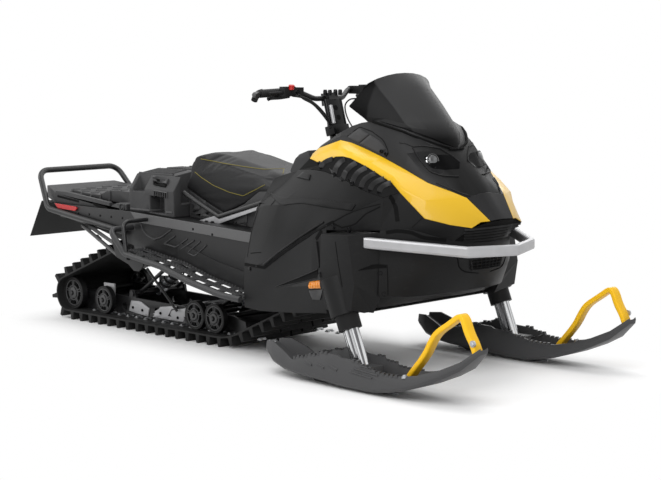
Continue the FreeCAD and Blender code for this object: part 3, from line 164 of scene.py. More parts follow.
class Finish:
    """A material under construction: its node tree and its main shader."""

    def __init__(self, name):
        self.material = bpy.data.materials.new(name)
        self.material.use_nodes = True
        self.tree = self.material.node_tree
        self.shader = self.tree.nodes["Principled BSDF"]
        self.place = self.node("ShaderNodeTexCoord", out="Object")

    def node(self, kind, settings=None, inputs=(), out=0):
        made = self.tree.nodes.new(kind)
        for key, value in (settings or {}).items():
            if key == "stops":
                self.set_stops(made, value)
            else:
                setattr(made, key, value)
        pairs = inputs.items() if isinstance(inputs, dict) else enumerate(inputs)
        for key, value in pairs:
            if isinstance(value, Signal):
                self.tree.links.new(value.socket, made.inputs[key])
            else:
                made.inputs[key].default_value = value
        return Signal(self, made.outputs[out])

    def set_stops(self, ramp_node, stops):
        ramp = ramp_node.color_ramp
        while len(ramp.elements) < len(stops):
            ramp.elements.new(0.5)
        for element, (position, value) in zip(ramp.elements, stops):
            element.position = position
            element.color = (value, value, value, 1)

    def math(self, operation, first, second=0.0):
        return self.node("ShaderNodeMath", {"operation": operation}, [first, second])

    def coordinate(self, axis, vector=None):
        """Part of a vector along axis 0, 1 or 2; the vector is the place where none is given."""
        return self.node("ShaderNodeSeparateXYZ", inputs=[vector or self.place], out=axis)

    def ramp(self, value, stops):
        return self.node("ShaderNodeValToRGB", {"stops": stops}, [value])

    def noise(self, size, detail=3.0, stretch=(1, 1, 1)):
        place = self.place
        if stretch != (1, 1, 1):
            place = self.node("ShaderNodeVectorMath", {"operation": "MULTIPLY"}, [place, stretch])
        inputs = {"Vector": place, "Scale": 1 / size, "Detail": detail}
        return self.node("ShaderNodeTexNoise", inputs=inputs)

    def mix(self, factor, first, second):
        """Colour between two colours, by a mask or a number."""
        pairs = {0: factor, 6: first, 7: second}
        return self.node("ShaderNodeMix", {"data_type": "RGBA"}, pairs, out=2)

    def bump(self, height, distance, strength=1.0):
        inputs = {"Height": height, "Distance": distance, "Strength": strength}
        return self.node("ShaderNodeBump", inputs=inputs)

    def set(self, **values):
        for key, value in values.items():
            socket = self.shader.inputs[key.replace("_", " ")]
            if isinstance(value, Signal):
                self.tree.links.new(value.socket, socket)
            else:
                socket.default_value = value
        return self.material


def opaque(color, share=1.0):
    return tuple(part * share for part in color) + (1.0,)


# Where the screen's painted shade changes, in metres, and how its lit face narrows per metre
# downwards
SCREEN_WING_X = 0.750
SCREEN_TOP = 1.125
SCREEN_FACE_HALF = 0.150
SCREEN_TAPER = 0.086
# How far the ski legs lean back per metre of height
LEG_SLANT = 0.424
materials = {}


def finish_of(maker):
    """Each finish is made once and shared by its pieces."""
    if maker.__name__ not in materials:
        materials[maker.__name__] = maker()
    return materials[maker.__name__]


def moulded(name, color, roughness, grain_depth, shine=0.30):
    """Injection-moulded plastic: fine grain, slow waves, faint scuffs."""
    f = Finish(name)
    broad = f.noise(0.35, 2)
    grain = f.noise(sizes().grain, 2)
    scuffs = f.ramp(f.noise(0.045, 6, stretch=(1, 1, 2.5)), [(0.58, 0.0), (0.78, 1.0)])
    tint = f.mix(broad, opaque(color, 0.84), opaque(color, 1.18))
    worn = f.mix(scuffs * 0.22, tint, opaque([part + 0.02 for part in color]))
    rough = roughness - 0.05 + broad * 0.10 + scuffs * 0.08 + grain * 0.04
    f.set(Specular_IOR_Level=shine)
    return f.set(Base_Color=worn, Roughness=rough, Normal=f.bump(grain, grain_depth, 0.6))


def body_black():
    return moulded("body_black", colours().body, 0.44, 0.00022, 0.14)


def panel_charcoal():
    """Satin side panels, with painted shade that darkens them a little towards the front and
    painted light that makes them greyer at the foot.
    """
    f = Finish("panel_charcoal")
    broad = f.noise(0.35, 2)
    grain = f.noise(sizes().grain, 2)
    forward = f.coordinate(0)
    height = f.coordinate(2)
    front = f.ramp(forward, [(0.45, 0.0), (0.80, 1.0)])
    foot = f.ramp(height, [(0.36, 1.0), (0.56, 0.0)])
    # painted shade: the panels are darker towards the front
    base = f.mix(front, opaque(colours().panel, 0.72), opaque(colours().panel, 0.34))
    # painted light: the panels are greyer at the foot
    tint = f.mix(foot, base, opaque(colours().panel, 1.70))
    f.set(Specular_IOR_Level=0.12)
    return f.set(Base_Color=tint, Roughness=0.38 + broad * 0.08, Normal=f.bump(grain, 0.00012, 0.6))


def hood_grey():
    return moulded("hood_grey", colours().cover, 0.40, 0.00020, 0.22)


def tray_black():
    return moulded("tray_black", [part * 3.2 for part in colours().body], 0.50, 0.00045)


def tray_grey():
    return moulded("tray_grey", [part * 3.6 for part in colours().body], 0.46, 0.00045, 0.35)


def shadow_black():
    """Deep gaps and recesses between panels."""
    return moulded("shadow_black", (0.0025, 0.0025, 0.0026), 0.70, 0.00030, 0.10)


def frame_paint():
    return moulded("frame_paint", (0.0085, 0.0085, 0.009), 0.36, 0.0003, 0.45)


def board_grey():
    return moulded("board_grey", (0.026, 0.026, 0.027), 0.42, 0.0003, 0.40)


def strip_grey():
    return moulded("strip_grey", (0.095, 0.095, 0.096), 0.42, 0.0002, 0.35)


def hub_grey():
    return moulded("hub_grey", (0.045, 0.045, 0.046), 0.40, 0.0003, 0.45)


def wheel_black():
    return moulded("wheel_black", (0.0045, 0.0045, 0.0048), 0.52, 0.0004, 0.25)


def hood_black():
    """Hood plastic: a painted dark reflection makes it nearly black along the middle, and it is
    greyer at the sides.
    """
    f = Finish("hood_black")
    broad = f.noise(0.35, 2)
    grain = f.noise(sizes().grain, 2)
    aside = f.coordinate(1)
    side = f.ramp(f.math("ABSOLUTE", aside), [(0.10, 0.0), (0.24, 1.0)])
    # painted reflection: nearly black along the middle, lighter towards the sides
    tint = f.mix(side, opaque(colours().body, 0.30), opaque(colours().body, 2.60))
    f.set(Specular_IOR_Level=0.14)
    return f.set(Base_Color=tint, Roughness=0.40 + broad * 0.08 + side * 0.04,
                 Normal=f.bump(grain, 0.00015, 0.6))


def ski_black():
    """Polythene of the skis, lighter than the bodywork."""
    return moulded("ski_black", [part * 5.4 for part in colours().body], 0.42, 0.00020, 0.25)


def lamp_black():
    """Nearly mirror-black inside of the lamp pods."""
    return moulded("lamp_black", (0.0010, 0.0010, 0.0012), 0.22, 0.00004, 0.05)


def gloss_black():
    f = Finish("gloss_black")
    broad = f.noise(0.25, 2)
    dust = f.noise(0.006, 4)
    tint = f.mix(broad, (0.004, 0.004, 0.0045, 1), (0.007, 0.007, 0.0075, 1))
    f.set(Specular_IOR_Level=0.16)
    return f.set(Base_Color=tint, Roughness=0.20 + broad * 0.05 + dust * 0.05,
                 Normal=f.bump(broad, 0.0006, 0.3))


def fin_black():
    """Glossier plastic of the cooling fins."""
    return moulded("fin_black", (0.006, 0.006, 0.0063), 0.34, 0.00010, 0.26)


def band_paint():
    """Glossy paint on plastic, with orange peel under a clear coat; its lower part is painted
    darker as shade.
    """
    f = Finish("band_paint")
    broad = f.noise(0.30, 2)
    peel = f.noise(0.004, 2)
    height = f.coordinate(2)
    upper = f.ramp(height, [(0.62, 0.0), (0.82, 1.0)])
    worn = f.mix(broad, opaque(colours().band, 0.95), opaque(colours().band, 1.03))
    # painted shade: the lower part of the band is darker
    tint = f.mix(upper, opaque(colours().band, 0.74), worn)
    f.set(Coat_Roughness=0.10, Specular_IOR_Level=0.25)
    return f.set(Base_Color=tint, Roughness=0.34 + broad * 0.06, Coat_Weight=0.22 + broad * 0.1,
                 Normal=f.bump(peel, 0.00012, 0.25))


def loop_plastic():
    f = Finish("loop_plastic")
    broad = f.noise(0.12, 3)
    grain = f.noise(0.004, 2)
    tint = f.mix(broad, opaque(colours().strap, 0.90), opaque(colours().strap, 1.04))
    f.set(Specular_IOR_Level=0.30)
    return f.set(Base_Color=tint, Roughness=0.36 + broad * 0.1,
                 Normal=f.bump(grain, 0.00005, 0.2))


def metal(name, color, roughness, metallic, streak=(1, 1, 1)):
    """Metal with drawn streaks and small stains."""
    f = Finish(name)
    streaks = f.noise(0.004, 3, stretch=streak)
    stains = f.noise(0.06, 5)
    tint = f.mix(stains, opaque(color, 0.80), opaque(color, 1.10))
    rough = roughness + streaks * 0.10 + stains * 0.06
    return f.set(Base_Color=tint, Roughness=rough, Metallic=metallic,
                 Normal=f.bump(streaks, 0.00015, 0.4))


def silver_satin():
    return metal("silver_satin", colours().silver, 0.34, 0.35, (0.15, 0.15, 3))


def alloy():
    return metal("alloy", (0.46, 0.47, 0.49), 0.32, 0.85, (3, 1, 1))


def chrome():
    """Polished steel, with painted dark and bright reflections of a bright tube as streaks along
    its length.
    """
    f = Finish("chrome")
    slant = f.node("ShaderNodeVectorMath", {"operation": "DOT_PRODUCT"},
                   [f.place, (1.0, 0.0, LEG_SLANT)], out=1)
    aside = f.coordinate(1)
    across = f.node("ShaderNodeCombineXYZ", inputs=[slant, aside])
    bands = f.node("ShaderNodeTexNoise", inputs={"Vector": across, "Scale": 62.0, "Detail": 0.6})
    streaks = f.ramp(bands, [(0.38, 0.0), (0.46, 1.0), (0.54, 0.9), (0.60, 0.12), (0.68, 1.0)])
    fine = f.noise(0.003, 2, stretch=(1, 1, 0.05))
    # painted reflections: dark and bright streaks along the leg's length
    tint = f.mix(streaks, (0.14, 0.14, 0.145, 1), (0.72, 0.73, 0.74, 1))
    return f.set(Base_Color=tint, Roughness=0.14 + fine * 0.08, Metallic=0.85 + fine * 0.1)


def zinc():
    return metal("zinc", (0.62, 0.63, 0.64), 0.26, 1.0)


def rubber():
    """Moulded rubber, unevenly dusty."""
    f = Finish("rubber")
    broad = f.noise(0.08, 4)
    grain = f.noise(0.003, 4)
    tint = f.mix(broad, (0.006, 0.006, 0.006, 1), (0.014, 0.014, 0.014, 1))
    f.set(Specular_IOR_Level=0.30)
    return f.set(Base_Color=tint, Roughness=0.58 + broad * 0.14,
                 Normal=f.bump(grain + broad, 0.0006, 0.6))


def seat_cover():
    """Coarse-grained vinyl, with painted light that makes it paler where it faces up."""
    f = Finish("seat_cover")
    broad = f.noise(0.10, 3)
    cells = f.node("ShaderNodeTexVoronoi", {"feature": "DISTANCE_TO_EDGE"},
                   {"Vector": f.place, "Scale": 420.0})
    leather = f.ramp(cells, [(0.0, 0.0), (0.35, 1.0)])
    facing = f.node("ShaderNodeTexCoord", out="Normal")
    upward = f.coordinate(2, facing)
    top = f.ramp(upward, [(0.55, 0.0), (0.85, 1.0)])
    side = f.mix(broad, (0.006, 0.006, 0.0065, 1), (0.010, 0.010, 0.0105, 1))
    # painted light: paler where the cover faces up
    tint = f.mix(top, side, (0.046, 0.046, 0.0465, 1))
    f.set(Specular_IOR_Level=0.25)
    return f.set(Base_Color=tint, Roughness=0.52 + broad * 0.10,
                 Normal=f.bump(leather, 0.0005, 0.8))


def seat_thread():
    """Thread, with painted light and shade along its turns."""
    f = Finish("seat_thread")
    twist = f.noise(0.0016, 1)
    # painted light and shade along the turns of the thread
    tint = f.mix(twist, opaque(colours().thread, 0.6), opaque(colours().thread, 1.3))
    return f.set(Base_Color=tint, Roughness=0.70 + twist * 0.1, Normal=f.bump(twist, 0.0004))


def lens(name, color, coat):
    """Coloured lens, clear-coated."""
    f = Finish(name)
    broad = f.noise(0.02, 2)
    tint = f.mix(broad, opaque(color, 0.80), opaque(color, 1.12))
    return f.set(Base_Color=tint, Roughness=0.20 + broad * 0.08, Coat_Weight=coat + broad * 0.1)


def lens_orange():
    return lens("lens_orange", (0.66, 0.215, 0.004), 0.05)


def lens_red():
    return lens("lens_red", (0.46, 0.006, 0.007), 0.05)


def button_red():
    return lens("button_red", (0.48, 0.010, 0.008), 0.1)


def lens_clear():
    """Projector lens: dark glass with painted pale glints."""
    f = Finish("lens_clear")
    facets = f.noise(0.030, 1)
    glints = f.ramp(facets, [(0.40, 0.0), (0.75, 1.0)])
    # painted highlights: pale glints on the dark glass
    tint = f.mix(glints, (0.006, 0.006, 0.007, 1), (0.16, 0.165, 0.17, 1))
    f.set(Specular_IOR_Level=0.5)
    return f.set(Base_Color=tint, Roughness=0.10 + glints * 0.05,
                 Coat_Weight=0.4 + facets * 0.1)


def screen_black():
    """Thick tinted screen, with painted shade that makes its wings and its foot darker than its
    face.
    """
    f = Finish("screen_black")
    broad = f.noise(0.30, 2)
    forward = f.coordinate(0)
    aside = f.coordinate(1)
    height = f.coordinate(2)
    wing = f.math("ABSOLUTE", aside) + (SCREEN_TOP - height) * SCREEN_TAPER
    face = f.ramp(wing, [(SCREEN_FACE_HALF, 1.0), (SCREEN_FACE_HALF + 0.006, 0.0)])
    inner = f.ramp(forward, [(SCREEN_WING_X - 0.004, 0.0), (SCREEN_WING_X + 0.004, 0.35)])
    lit = f.ramp(height, [(0.93, 0.03), (1.08, 1.0)])
    # painted shade on the wings and the foot, painted light on the face
    tint = f.mix(face.most(inner) * lit, (0.0015, 0.0015, 0.0016, 1),
                 (0.036, 0.036, 0.0365, 1))
    f.set(Specular_IOR_Level=0.06)
    return f.set(Base_Color=tint, Roughness=0.38 + broad * 0.08,
                 Normal=f.bump(broad, 0.0010, 0.2))


# Viewpoint of the photograph, in metres, degrees and millimetres
EYE = Vector((5.159, -4.756, 1.258))
TARGET = Vector((0.035, 0.293, 0.433))
ROLL = math.radians(-0.4356)
FOCAL_LENGTH = 87.75
SENSOR_WIDTH = 36.0
PHOTO_SIZE = (661, 480)


def camera_turn():
    """How the camera of the photograph is turned."""
    aim = (TARGET - EYE).to_track_quat("-Z", "Y").to_matrix()
    return aim @ Matrix.Rotation(ROLL, 3, "Z")


def sight(pixel):
    """Direction of the line of sight through a pixel of the photograph."""
    wide, high = PHOTO_SIZE
    share = SENSOR_WIDTH / FOCAL_LENGTH / wide
    across = (pixel[0] - wide / 2) * share
    up = (high / 2 - pixel[1]) * share
    return (camera_turn() @ Vector((across, up, -1))).normalized()


def seen_at_side(pixel, y):
    """Place on the line of sight through a pixel at a distance from the middle plane."""
    way = sight(pixel)
    return EYE + way * ((y - EYE.y) / way.y)


class Surface:
    """Outer faces of some solids, met by a line from a chosen side."""

    REACH = 4.0

    def __init__(self, *names, meshes=()):
        corners = []
        faces = []
        for mesh in [nodes[name].data for name in names] + list(meshes):
            base = len(corners)
            corners += [vert.co.copy() for vert in mesh.vertices]
            faces += [[base + k for k in face.vertices] for face in mesh.polygons]
        self.tree = BVHTree.FromPolygons(corners, faces)
        self.middle = sum(corners, Vector()) / len(corners)

    def cast(self, start, way):
        """Place and outward normal where a line meets the faces, or the nearest to it."""
        place, normal, _, _ = self.tree.ray_cast(start, way)
        if place is None:
            beside = start + way * (self.middle - start).dot(way)
            place, normal, _, _ = self.tree.find_nearest(beside)
        if normal.dot(way) > 0:
            normal = -normal
        return place, normal

    def photo(self, mark):
        return self.cast(EYE, sight(mark))

    def side(self, mark):
        return self.cast(Vector((mark[0], -self.REACH, mark[1])), Vector((0, 1, 0)))

    def front(self, mark):
        return self.cast(Vector((self.REACH, mark[0], mark[1])), Vector((-1, 0, 0)))

    def above(self, mark):
        return self.cast(Vector((mark[0], mark[1], self.REACH)), Vector((0, 0, -1)))


def between(first, second, share):
    return [a + (b - a) * share for a, b in zip(first, second)]


def spread(marks, count):
    """Marks at even distances along a line, its ends among them."""
    legs = [math.dist(a, b) for a, b in zip(marks, marks[1:])]
    total = sum(legs)
    result = []
    for k in range(count + 1):
        rest = total * k / count
        index = 0
        while index < len(legs) - 1 and rest > legs[index]:
            rest -= legs[index]
            index += 1
        result.append(between(marks[index], marks[index + 1], rest / legs[index]))
    return result


def curve_marks(start, control, end, count=8):
    """Marks along an arc-like bend from start to end, drawn towards a control mark."""
    marks = []
    for k in range(count + 1):
        share = k / count
        marks.append(between(between(start, control, share), between(control, end, share), share))
    return marks


# Cross profiles of strips: shares of the width to each side, and of the rise
BEAD = ((-0.50, 0.1), (-0.30, 0.8), (0.0, 1.0), (0.30, 0.8), (0.50, 0.1))
FLAT = ((-0.50, 1.0), (0.50, 1.0))
BLADE = ((-0.50, 0.05), (0.10, 0.60), (0.42, 1.0), (0.50, 0.85))


class Form:
    """Closed shapes gathered into the mesh of one piece."""

    def __init__(self):
        self.shape = bmesh.new()

    def solid(self, outer, inner):
        """Closed shape between two grids of points."""
        grids = []
        for points in (outer, inner):
            grids.append([[self.shape.verts.new(p) for p in row] for row in points])
        first, second = grids
        rows = len(first)
        steps = len(first[0])
        for i in range(rows - 1):
            for j in range(steps - 1):
                for grid in grids:
                    self.face(grid[i][j], grid[i][j + 1], grid[i + 1][j + 1], grid[i + 1][j])
            for j in (0, steps - 1):
                self.face(first[i][j], first[i + 1][j], second[i + 1][j], second[i][j])
        for j in range(steps - 1):
            for i in (0, rows - 1):
                self.face(first[i][j], first[i][j + 1], second[i][j + 1], second[i][j])

    def face(self, *corners):
        self.shape.faces.new(corners)

    def strip(self, marks, look, width, rise, profile=BEAD, step=0.02, sink=0.002):
        """Raised strip that follows marks over a surface."""
        ends = [look(mark)[0] for mark in marks]
        length = sum((b - a).length for a, b in zip(ends, ends[1:]))
        count = max(2, round(length / step))
        places = [look(mark) for mark in spread(marks, count)]
        outer = []
        inner = []
        for k, (place, normal) in enumerate(places):
            after = places[min(k + 1, count)][0]
            before = places[max(k - 1, 0)][0]
            aside = (after - before).cross(normal).normalized()
            outer.append([place + aside * (a * width) + normal * (b * rise) for a, b in profile])
            inner.append([place + aside * (a * width) - normal * sink for a, _ in profile])
        self.solid(outer, inner)

    def plate(self, first, second, look, rise, steps=(8, 4), sink=0.002, level=False):
        """Raised plate between two lines of marks; a level one keeps one direction."""
        low = spread(first, steps[0])
        high = spread(second, steps[0])
        grid = []
        for k in range(steps[1] + 1):
            grid.append([look(between(a, b, k / steps[1])) for a, b in zip(low, high)])
        middle = grid[steps[1] // 2][steps[0] // 2][1]
        outer = []
        inner = []
        for row in grid:
            ways = [middle if level else normal for _, normal in row]
            outer.append([place + way * rise for (place, _), way in zip(row, ways)])
            inner.append([place - way * sink for (place, _), way in zip(row, ways)])
        self.solid(outer, inner)

    def turned(self, profile, centre, way, sides=20):
        """Round shape: radii and heights along a direction, closed at both ends."""
        turn = Vector(way).to_track_quat("Z", "Y").to_matrix()
        rings = []
        for radius, height in profile:
            ring = []
            for k in range(sides):
                angle = 2 * math.pi * k / sides
                spoke = Vector((radius * math.cos(angle), radius * math.sin(angle), height))
                ring.append(self.shape.verts.new(Vector(centre) + turn @ spoke))
            rings.append(ring)
        self.rings(rings)

    def rings(self, rings):
        sides = len(rings[0])
        for first, second in zip(rings, rings[1:]):
            for k in range(sides):
                after = (k + 1) % sides
                self.face(first[k], first[after], second[after], second[k])
        self.face(*reversed(rings[0]))
        self.face(*rings[-1])

    def bolt(self, centre, way, radius=None, height=None, sides=6):
        """Bolt head on its washer."""
        radius = radius or sizes().bolt
        height = height or radius * 0.7
        washer = height * 0.25
        sunk = -height
        self.turned([(radius * 1.35, sunk), (radius * 1.35, washer)], centre, way, 16)
        self.turned([(radius, 0), (radius, height * 0.8), (radius * 0.8, height)],
                    centre, way, sides)

    def bolts(self, marks, look, radius=None, height=None, sides=6):
        for mark in marks:
            place, normal = look(mark)
            self.bolt(place, normal, radius, height, sides)

    def tube(self, points, radius, sides=10):
        """Round bar along points, its end faces flat."""
        points = [Vector(p) for p in points]
        rings = []
        normal = (points[1] - points[0]).orthogonal().normalized()
        for k, point in enumerate(points):
            after = points[min(k + 1, len(points) - 1)]
            before = points[max(k - 1, 0)]
            way = (after - before).normalized()
            normal = (normal - way * normal.dot(way)).normalized()
            other = way.cross(normal)
            ring = []
            for j in range(sides):
                angle = 2 * math.pi * j / sides
                spoke = normal * math.cos(angle) + other * math.sin(angle)
                ring.append(self.shape.verts.new(point + spoke * radius))
            rings.append(ring)
        self.rings(rings)

    def loop(self, centre, way, radius, thickness, count=36, sides=8):
        """Closed ring of round wire."""
        turn = Vector(way).to_track_quat("Z", "Y").to_matrix()
        rings = []
        for k in range(count):
            angle = 2 * math.pi * k / count
            outward = Vector((math.cos(angle), math.sin(angle), 0))
            ring = []
            for j in range(sides):
                lean = 2 * math.pi * j / sides
                spoke = outward * (radius + thickness * math.cos(lean))
                spoke.z = thickness * math.sin(lean)
                ring.append(self.shape.verts.new(Vector(centre) + turn @ spoke))
            rings.append(ring)
        for first, second in zip(rings, rings[1:] + rings[:1]):
            for j in range(sides):
                after = (j + 1) % sides
                self.face(first[j], first[after], second[after], second[j])

    def coil(self, start, end, radius, wire, turns, per_turn=14):
        """Helical spring between two places."""
        start = Vector(start)
        way = Vector(end) - start
        turn = way.to_track_quat("Z", "Y").to_matrix()
        points = []
        for k in range(turns * per_turn + 1):
            angle = 2 * math.pi * k / per_turn
            spoke = turn @ Vector((radius * math.cos(angle), radius * math.sin(angle), 0))
            points.append(start + way * (k / (turns * per_turn)) + spoke)
        self.tube(points, wire, 8)

    def block(self, centre, half, turn=None):
        """Box by its centre and half sizes, which may be turned."""
        turn = turn or Matrix.Identity(3)
        grid = [[(-1, -1), (1, -1)], [(-1, 1), (1, 1)]]
        levels = []
        for level in (1, -1):
            levels.append([[Vector(centre) + turn @ Vector((a * half[0], b * half[1],
                                                            level * half[2]))
                            for a, b in row] for row in grid])
        self.solid(*levels)

    def mirror(self):
        """The same shapes on the other side."""
        made = bmesh.ops.duplicate(self.shape, geom=self.shape.faces[:])
        verts = [item for item in made["geom"] if isinstance(item, bmesh.types.BMVert)]
        bmesh.ops.scale(self.shape, verts=verts, vec=(1, -1, 1))
        return self

    def done(self, name, maker, node, body=None, edge=0.0, smooth=35.0):
        """Object of the shapes, on the body of a solid that carries it."""
        bmesh.ops.recalc_face_normals(self.shape, faces=self.shape.faces)
        if edge:
            round_edges(self.shape, edge, 30.0)
        mesh = bpy.data.meshes.new(name)
        self.shape.to_mesh(mesh)
        self.shape.free()
        shade(mesh, smooth)
        return add_piece(mesh, name, body or nodes[node]["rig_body"], maker, slot_of(node))


def round_edges(shape, edge, crease):
    """Rounds the edges that are sharper than the crease, in degrees."""
    sharp = [e for e in shape.edges
             if len(e.link_faces) == 2 and e.calc_face_angle(0) > math.radians(crease)]
    bmesh.ops.bevel(shape, geom=sharp, offset=edge, offset_type="OFFSET",
                    segments=sizes().steps, profile=0.5, affect="EDGES", clamp_overlap=True)
    many = [face for face in shape.faces if len(face.verts) > 4]
    bmesh.ops.triangulate(shape, faces=many)


def shade(mesh, smooth):
    mesh.polygons.foreach_set("use_smooth", [True] * len(mesh.polygons))
    mesh.set_sharp_from_angle(angle=math.radians(smooth))


def add_piece(mesh, name, body, maker, slot):
    """New object on a body, in one finish."""
    piece = bpy.data.objects.new(name, mesh)
    bpy.context.scene.collection.objects.link(piece)
    mesh.materials.clear()
    mesh.materials.append(finish_of(maker))
    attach(piece, body)
    return piece


def slot_of(node):
    """Material slot that the record gives to a solid."""
    for entry in frame["record"]["subparts"]:
        if entry["node"] == node:
            return entry["material_slot"]
    raise ValueError("no slot for " + node)


# The console's rear end and the place up to which it is drawn forward, and by how much
CONSOLE_REAR, CONSOLE_FRONT, CONSOLE_SHIFT = 0.204, 0.335, 0.045
WELD = 0.00002
FLAT_ANGLE = math.radians(0.6)


def trimmed_console(shape):
    """The console's rear end is drawn forward to the padded seat's end."""
    for vert in shape.verts:
        if vert.co.x < CONSOLE_FRONT:
            share = (CONSOLE_FRONT - vert.co.x) / (CONSOLE_FRONT - CONSOLE_REAR)
            vert.co.x += CONSOLE_SHIFT * share


def softened(node, maker, edge, crease=28.0, smooth=22.0):
    """Copy of a solid with welded seams and rounded edges, which stands for it."""
    source = nodes[node]
    shape = bmesh.new()
    shape.from_mesh(source.data)
    bmesh.ops.remove_doubles(shape, verts=shape.verts, dist=WELD)
    bmesh.ops.recalc_face_normals(shape, faces=shape.faces)
    bmesh.ops.dissolve_limit(shape, angle_limit=FLAT_ANGLE, verts=shape.verts,
                             edges=shape.edges)
    if node == "console":
        trimmed_console(shape)
    if edge:
        round_edges(shape, edge, crease)
    mesh = bpy.data.meshes.new(node + "_shell")
    shape.to_mesh(mesh)
    shape.free()
    shade(mesh, smooth)
    piece = add_piece(mesh, node + "_shell", source["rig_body"], maker, slot_of(node))
    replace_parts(piece, node)


def trims(look, strips=(), plates=()):
    """Strips and plates that follow marks over one surface, on both sides."""
    form = Form()
    for marks, *shape in strips:
        form.strip(marks, look, *shape)
    for foot, top, *shape in plates:
        form.plate(foot, top, look, *shape)
    return form.mirror()


def studs(marks, look, profile, sides):
    """Round shapes that stand on a surface at marks."""
    form = Form()
    for mark in marks:
        form.turned(profile, *look(mark), sides)
    return form


# Marks on the bodywork, as pixels of the photograph on the rider's right side
COVER_REAR_FOOT = [(348.2, 137.0), (359.2, 143.0)]
COVER_REAR_TOP = [(359.0, 128.3), (369.2, 134.5)]
COVER_FRONT_FOOT = [(360.2, 143.6), (379.0, 153.4)]
COVER_FRONT_TOP = [(370.2, 135.0), (380.4, 141.3), (386.0, 148.8)]
COVER_SEAM = [(347.0, 136.4), (359.5, 126.8), (372.0, 131.5), (383.4, 140.0), (389.0, 152.5),
              (386.0, 157.0)]
COVER_PLUGS = [(381.8, 151.4), (386.4, 154.2)]
SCREEN_GASKET = [(369.4, 120.4), (379.0, 123.6), (402.3, 131.2), (414.0, 136.2), (436.0, 144.3),
                 (456.5, 149.6), (463.0, 148.2)]
POD_UPPER = [(412.6, 146.8), (424.0, 145.9), (440.0, 148.6), (452.0, 156.0), (460.0, 162.6)]
POD_LOWER = [(412.6, 147.8), (419.6, 159.6), (430.0, 171.6), (443.0, 176.2), (459.0, 176.6)]
POD_TAIL = [(399.4, 142.7), (406.0, 143.6), (413.0, 146.6)]
GLASS_TOP = [(424.4, 156.6), (434.0, 154.9), (446.0, 154.8), (453.0, 157.4), (459.5, 161.2)]
GLASS_FOOT = [(424.4, 158.0), (427.6, 164.8), (432.2, 168.2), (444.6, 169.6), (459.5, 168.4)]
LENS_MARK = (433.0, 159.8)
GLINT_MARKS = [(427.4, 158.4), (427.2, 161.4), (430.4, 156.8)]
HOOD_LIP = [(436.0, 183.0), (459.0, 192.5), (475.5, 197.8), (488.7, 197.4), (493.5, 193.0)]
FIN_TOPS = [(333.2, 160.0), (345.2, 160.2), (356.8, 163.8), (366.8, 168.6), (375.8, 174.2),
            (384.6, 179.6), (391.0, 184.0)]
FIN_FEET = [(321.8, 168.4), (334.6, 177.0), (343.6, 181.4), (352.6, 185.0), (361.6, 188.2),
            (370.4, 190.8), (379.4, 192.8)]
FLANK_LIP = [(244.8, 264.3), (264.5, 267.6), (277.0, 257.3), (296.7, 243.2), (313.5, 232.2),
             (324.8, 226.0), (333.2, 222.0)]
FLANK_RIM = [(264.0, 264.6), (277.0, 253.6), (296.7, 239.5), (313.5, 228.6), (324.0, 222.6)]
FLANK_REAR = [(264.5, 185.7), (258.8, 206.8), (251.8, 229.2), (247.2, 257.0)]
DOOR_TOP = [(333.2, 222.2), (347.0, 214.2), (362.0, 208.6), (383.7, 203.3)]
DOOR_FOOT = [(333.2, 223.2), (341.6, 227.6), (354.2, 225.0), (366.0, 213.8), (383.7, 205.0)]
DOOR_HOOKS = [(333.2, 226.6), (349.3, 229.9)]
FLANK_TAB_FOOT = [(297.4, 177.6), (309.5, 180.4)]
FLANK_TAB_TOP = [(303.5, 172.2), (310.9, 174.9)]
KNEE_FOOT = [(271.0, 196.0), (281.0, 205.5), (302.0, 203.4), (330.0, 208.0), (352.0, 211.0)]
KNEE_TOP = [(268.5, 191.5), (282.0, 198.0), (302.0, 197.5), (330.0, 200.5), (356.0, 204.5)]
FLANK_BOLT = [(250.1, 268.8)]
FLANK_SLOT = [(250.6, 253.2), (261.0, 252.4)]
PILLAR = [(316.8, 241.5), (318.8, 258.0), (320.4, 277.4)]
PILLAR_SLOT = [(316.0, 239.2), (321.6, 230.6)]
TOWER_SEAM = [(335.3, 241.8), (338.0, 262.0), (342.3, 287.0)]
VENT_FOOT = [(276.0, 287.2), (304.8, 281.4), (317.4, 278.0)]
VENT_TOP = [(276.0, 286.6), (300.0, 277.0), (318.0, 269.4)]
TAB_FOOT = [(312.8, 299.3), (320.6, 300.0)]
TAB_TOP = [(309.3, 290.3), (323.4, 289.3)]
PAN_SEAM = [(358.4, 270.6), (373.5, 264.6), (387.2, 265.2), (387.9, 280.0), (387.9, 295.1)]
PAN_NOTCH_FOOT = [(358.4, 270.8), (376.0, 268.4), (386.6, 268.0)]
PAN_NOTCH_TOP = [(358.4, 270.4), (374.0, 264.6), (386.6, 265.8)]
PAN_BOLTS = [(380.4, 273.2), (383.7, 294.0)]
GAP_FASCIA = [(384.8, 190.8), (392.1, 199.1), (395.8, 207.9), (397.6, 221.5)]
GAP_BUMPER = [(386.0, 232.6), (398.0, 230.8), (411.0, 232.4), (422.8, 237.6), (446.3, 240.4)]
FASCIA_SEAM = [(411.9, 227.6), (422.8, 217.6)]
REFLECTOR_SPAN = [(307.6, 284.6), (322.4, 283.2)]
# Sizes in metres; the dome and the fins' bend are shares, half a reflector's rib is in pixels
LENS_RADIUS = 0.021
LENS_DOME = 0.45
LENS_AIM = Vector((0.6, -0.3, 0.0))
RIM_WIDTH = 0.006
FIN_WIDTH = 0.017
FIN_RISE = 0.012
FIN_BEND = (0.10, 0.28)
REFLECTOR_RIBS = 7
REFLECTOR_RIB_HALF = 3.4
HOOK_WAY = Vector((0.5, 1, 0.3))


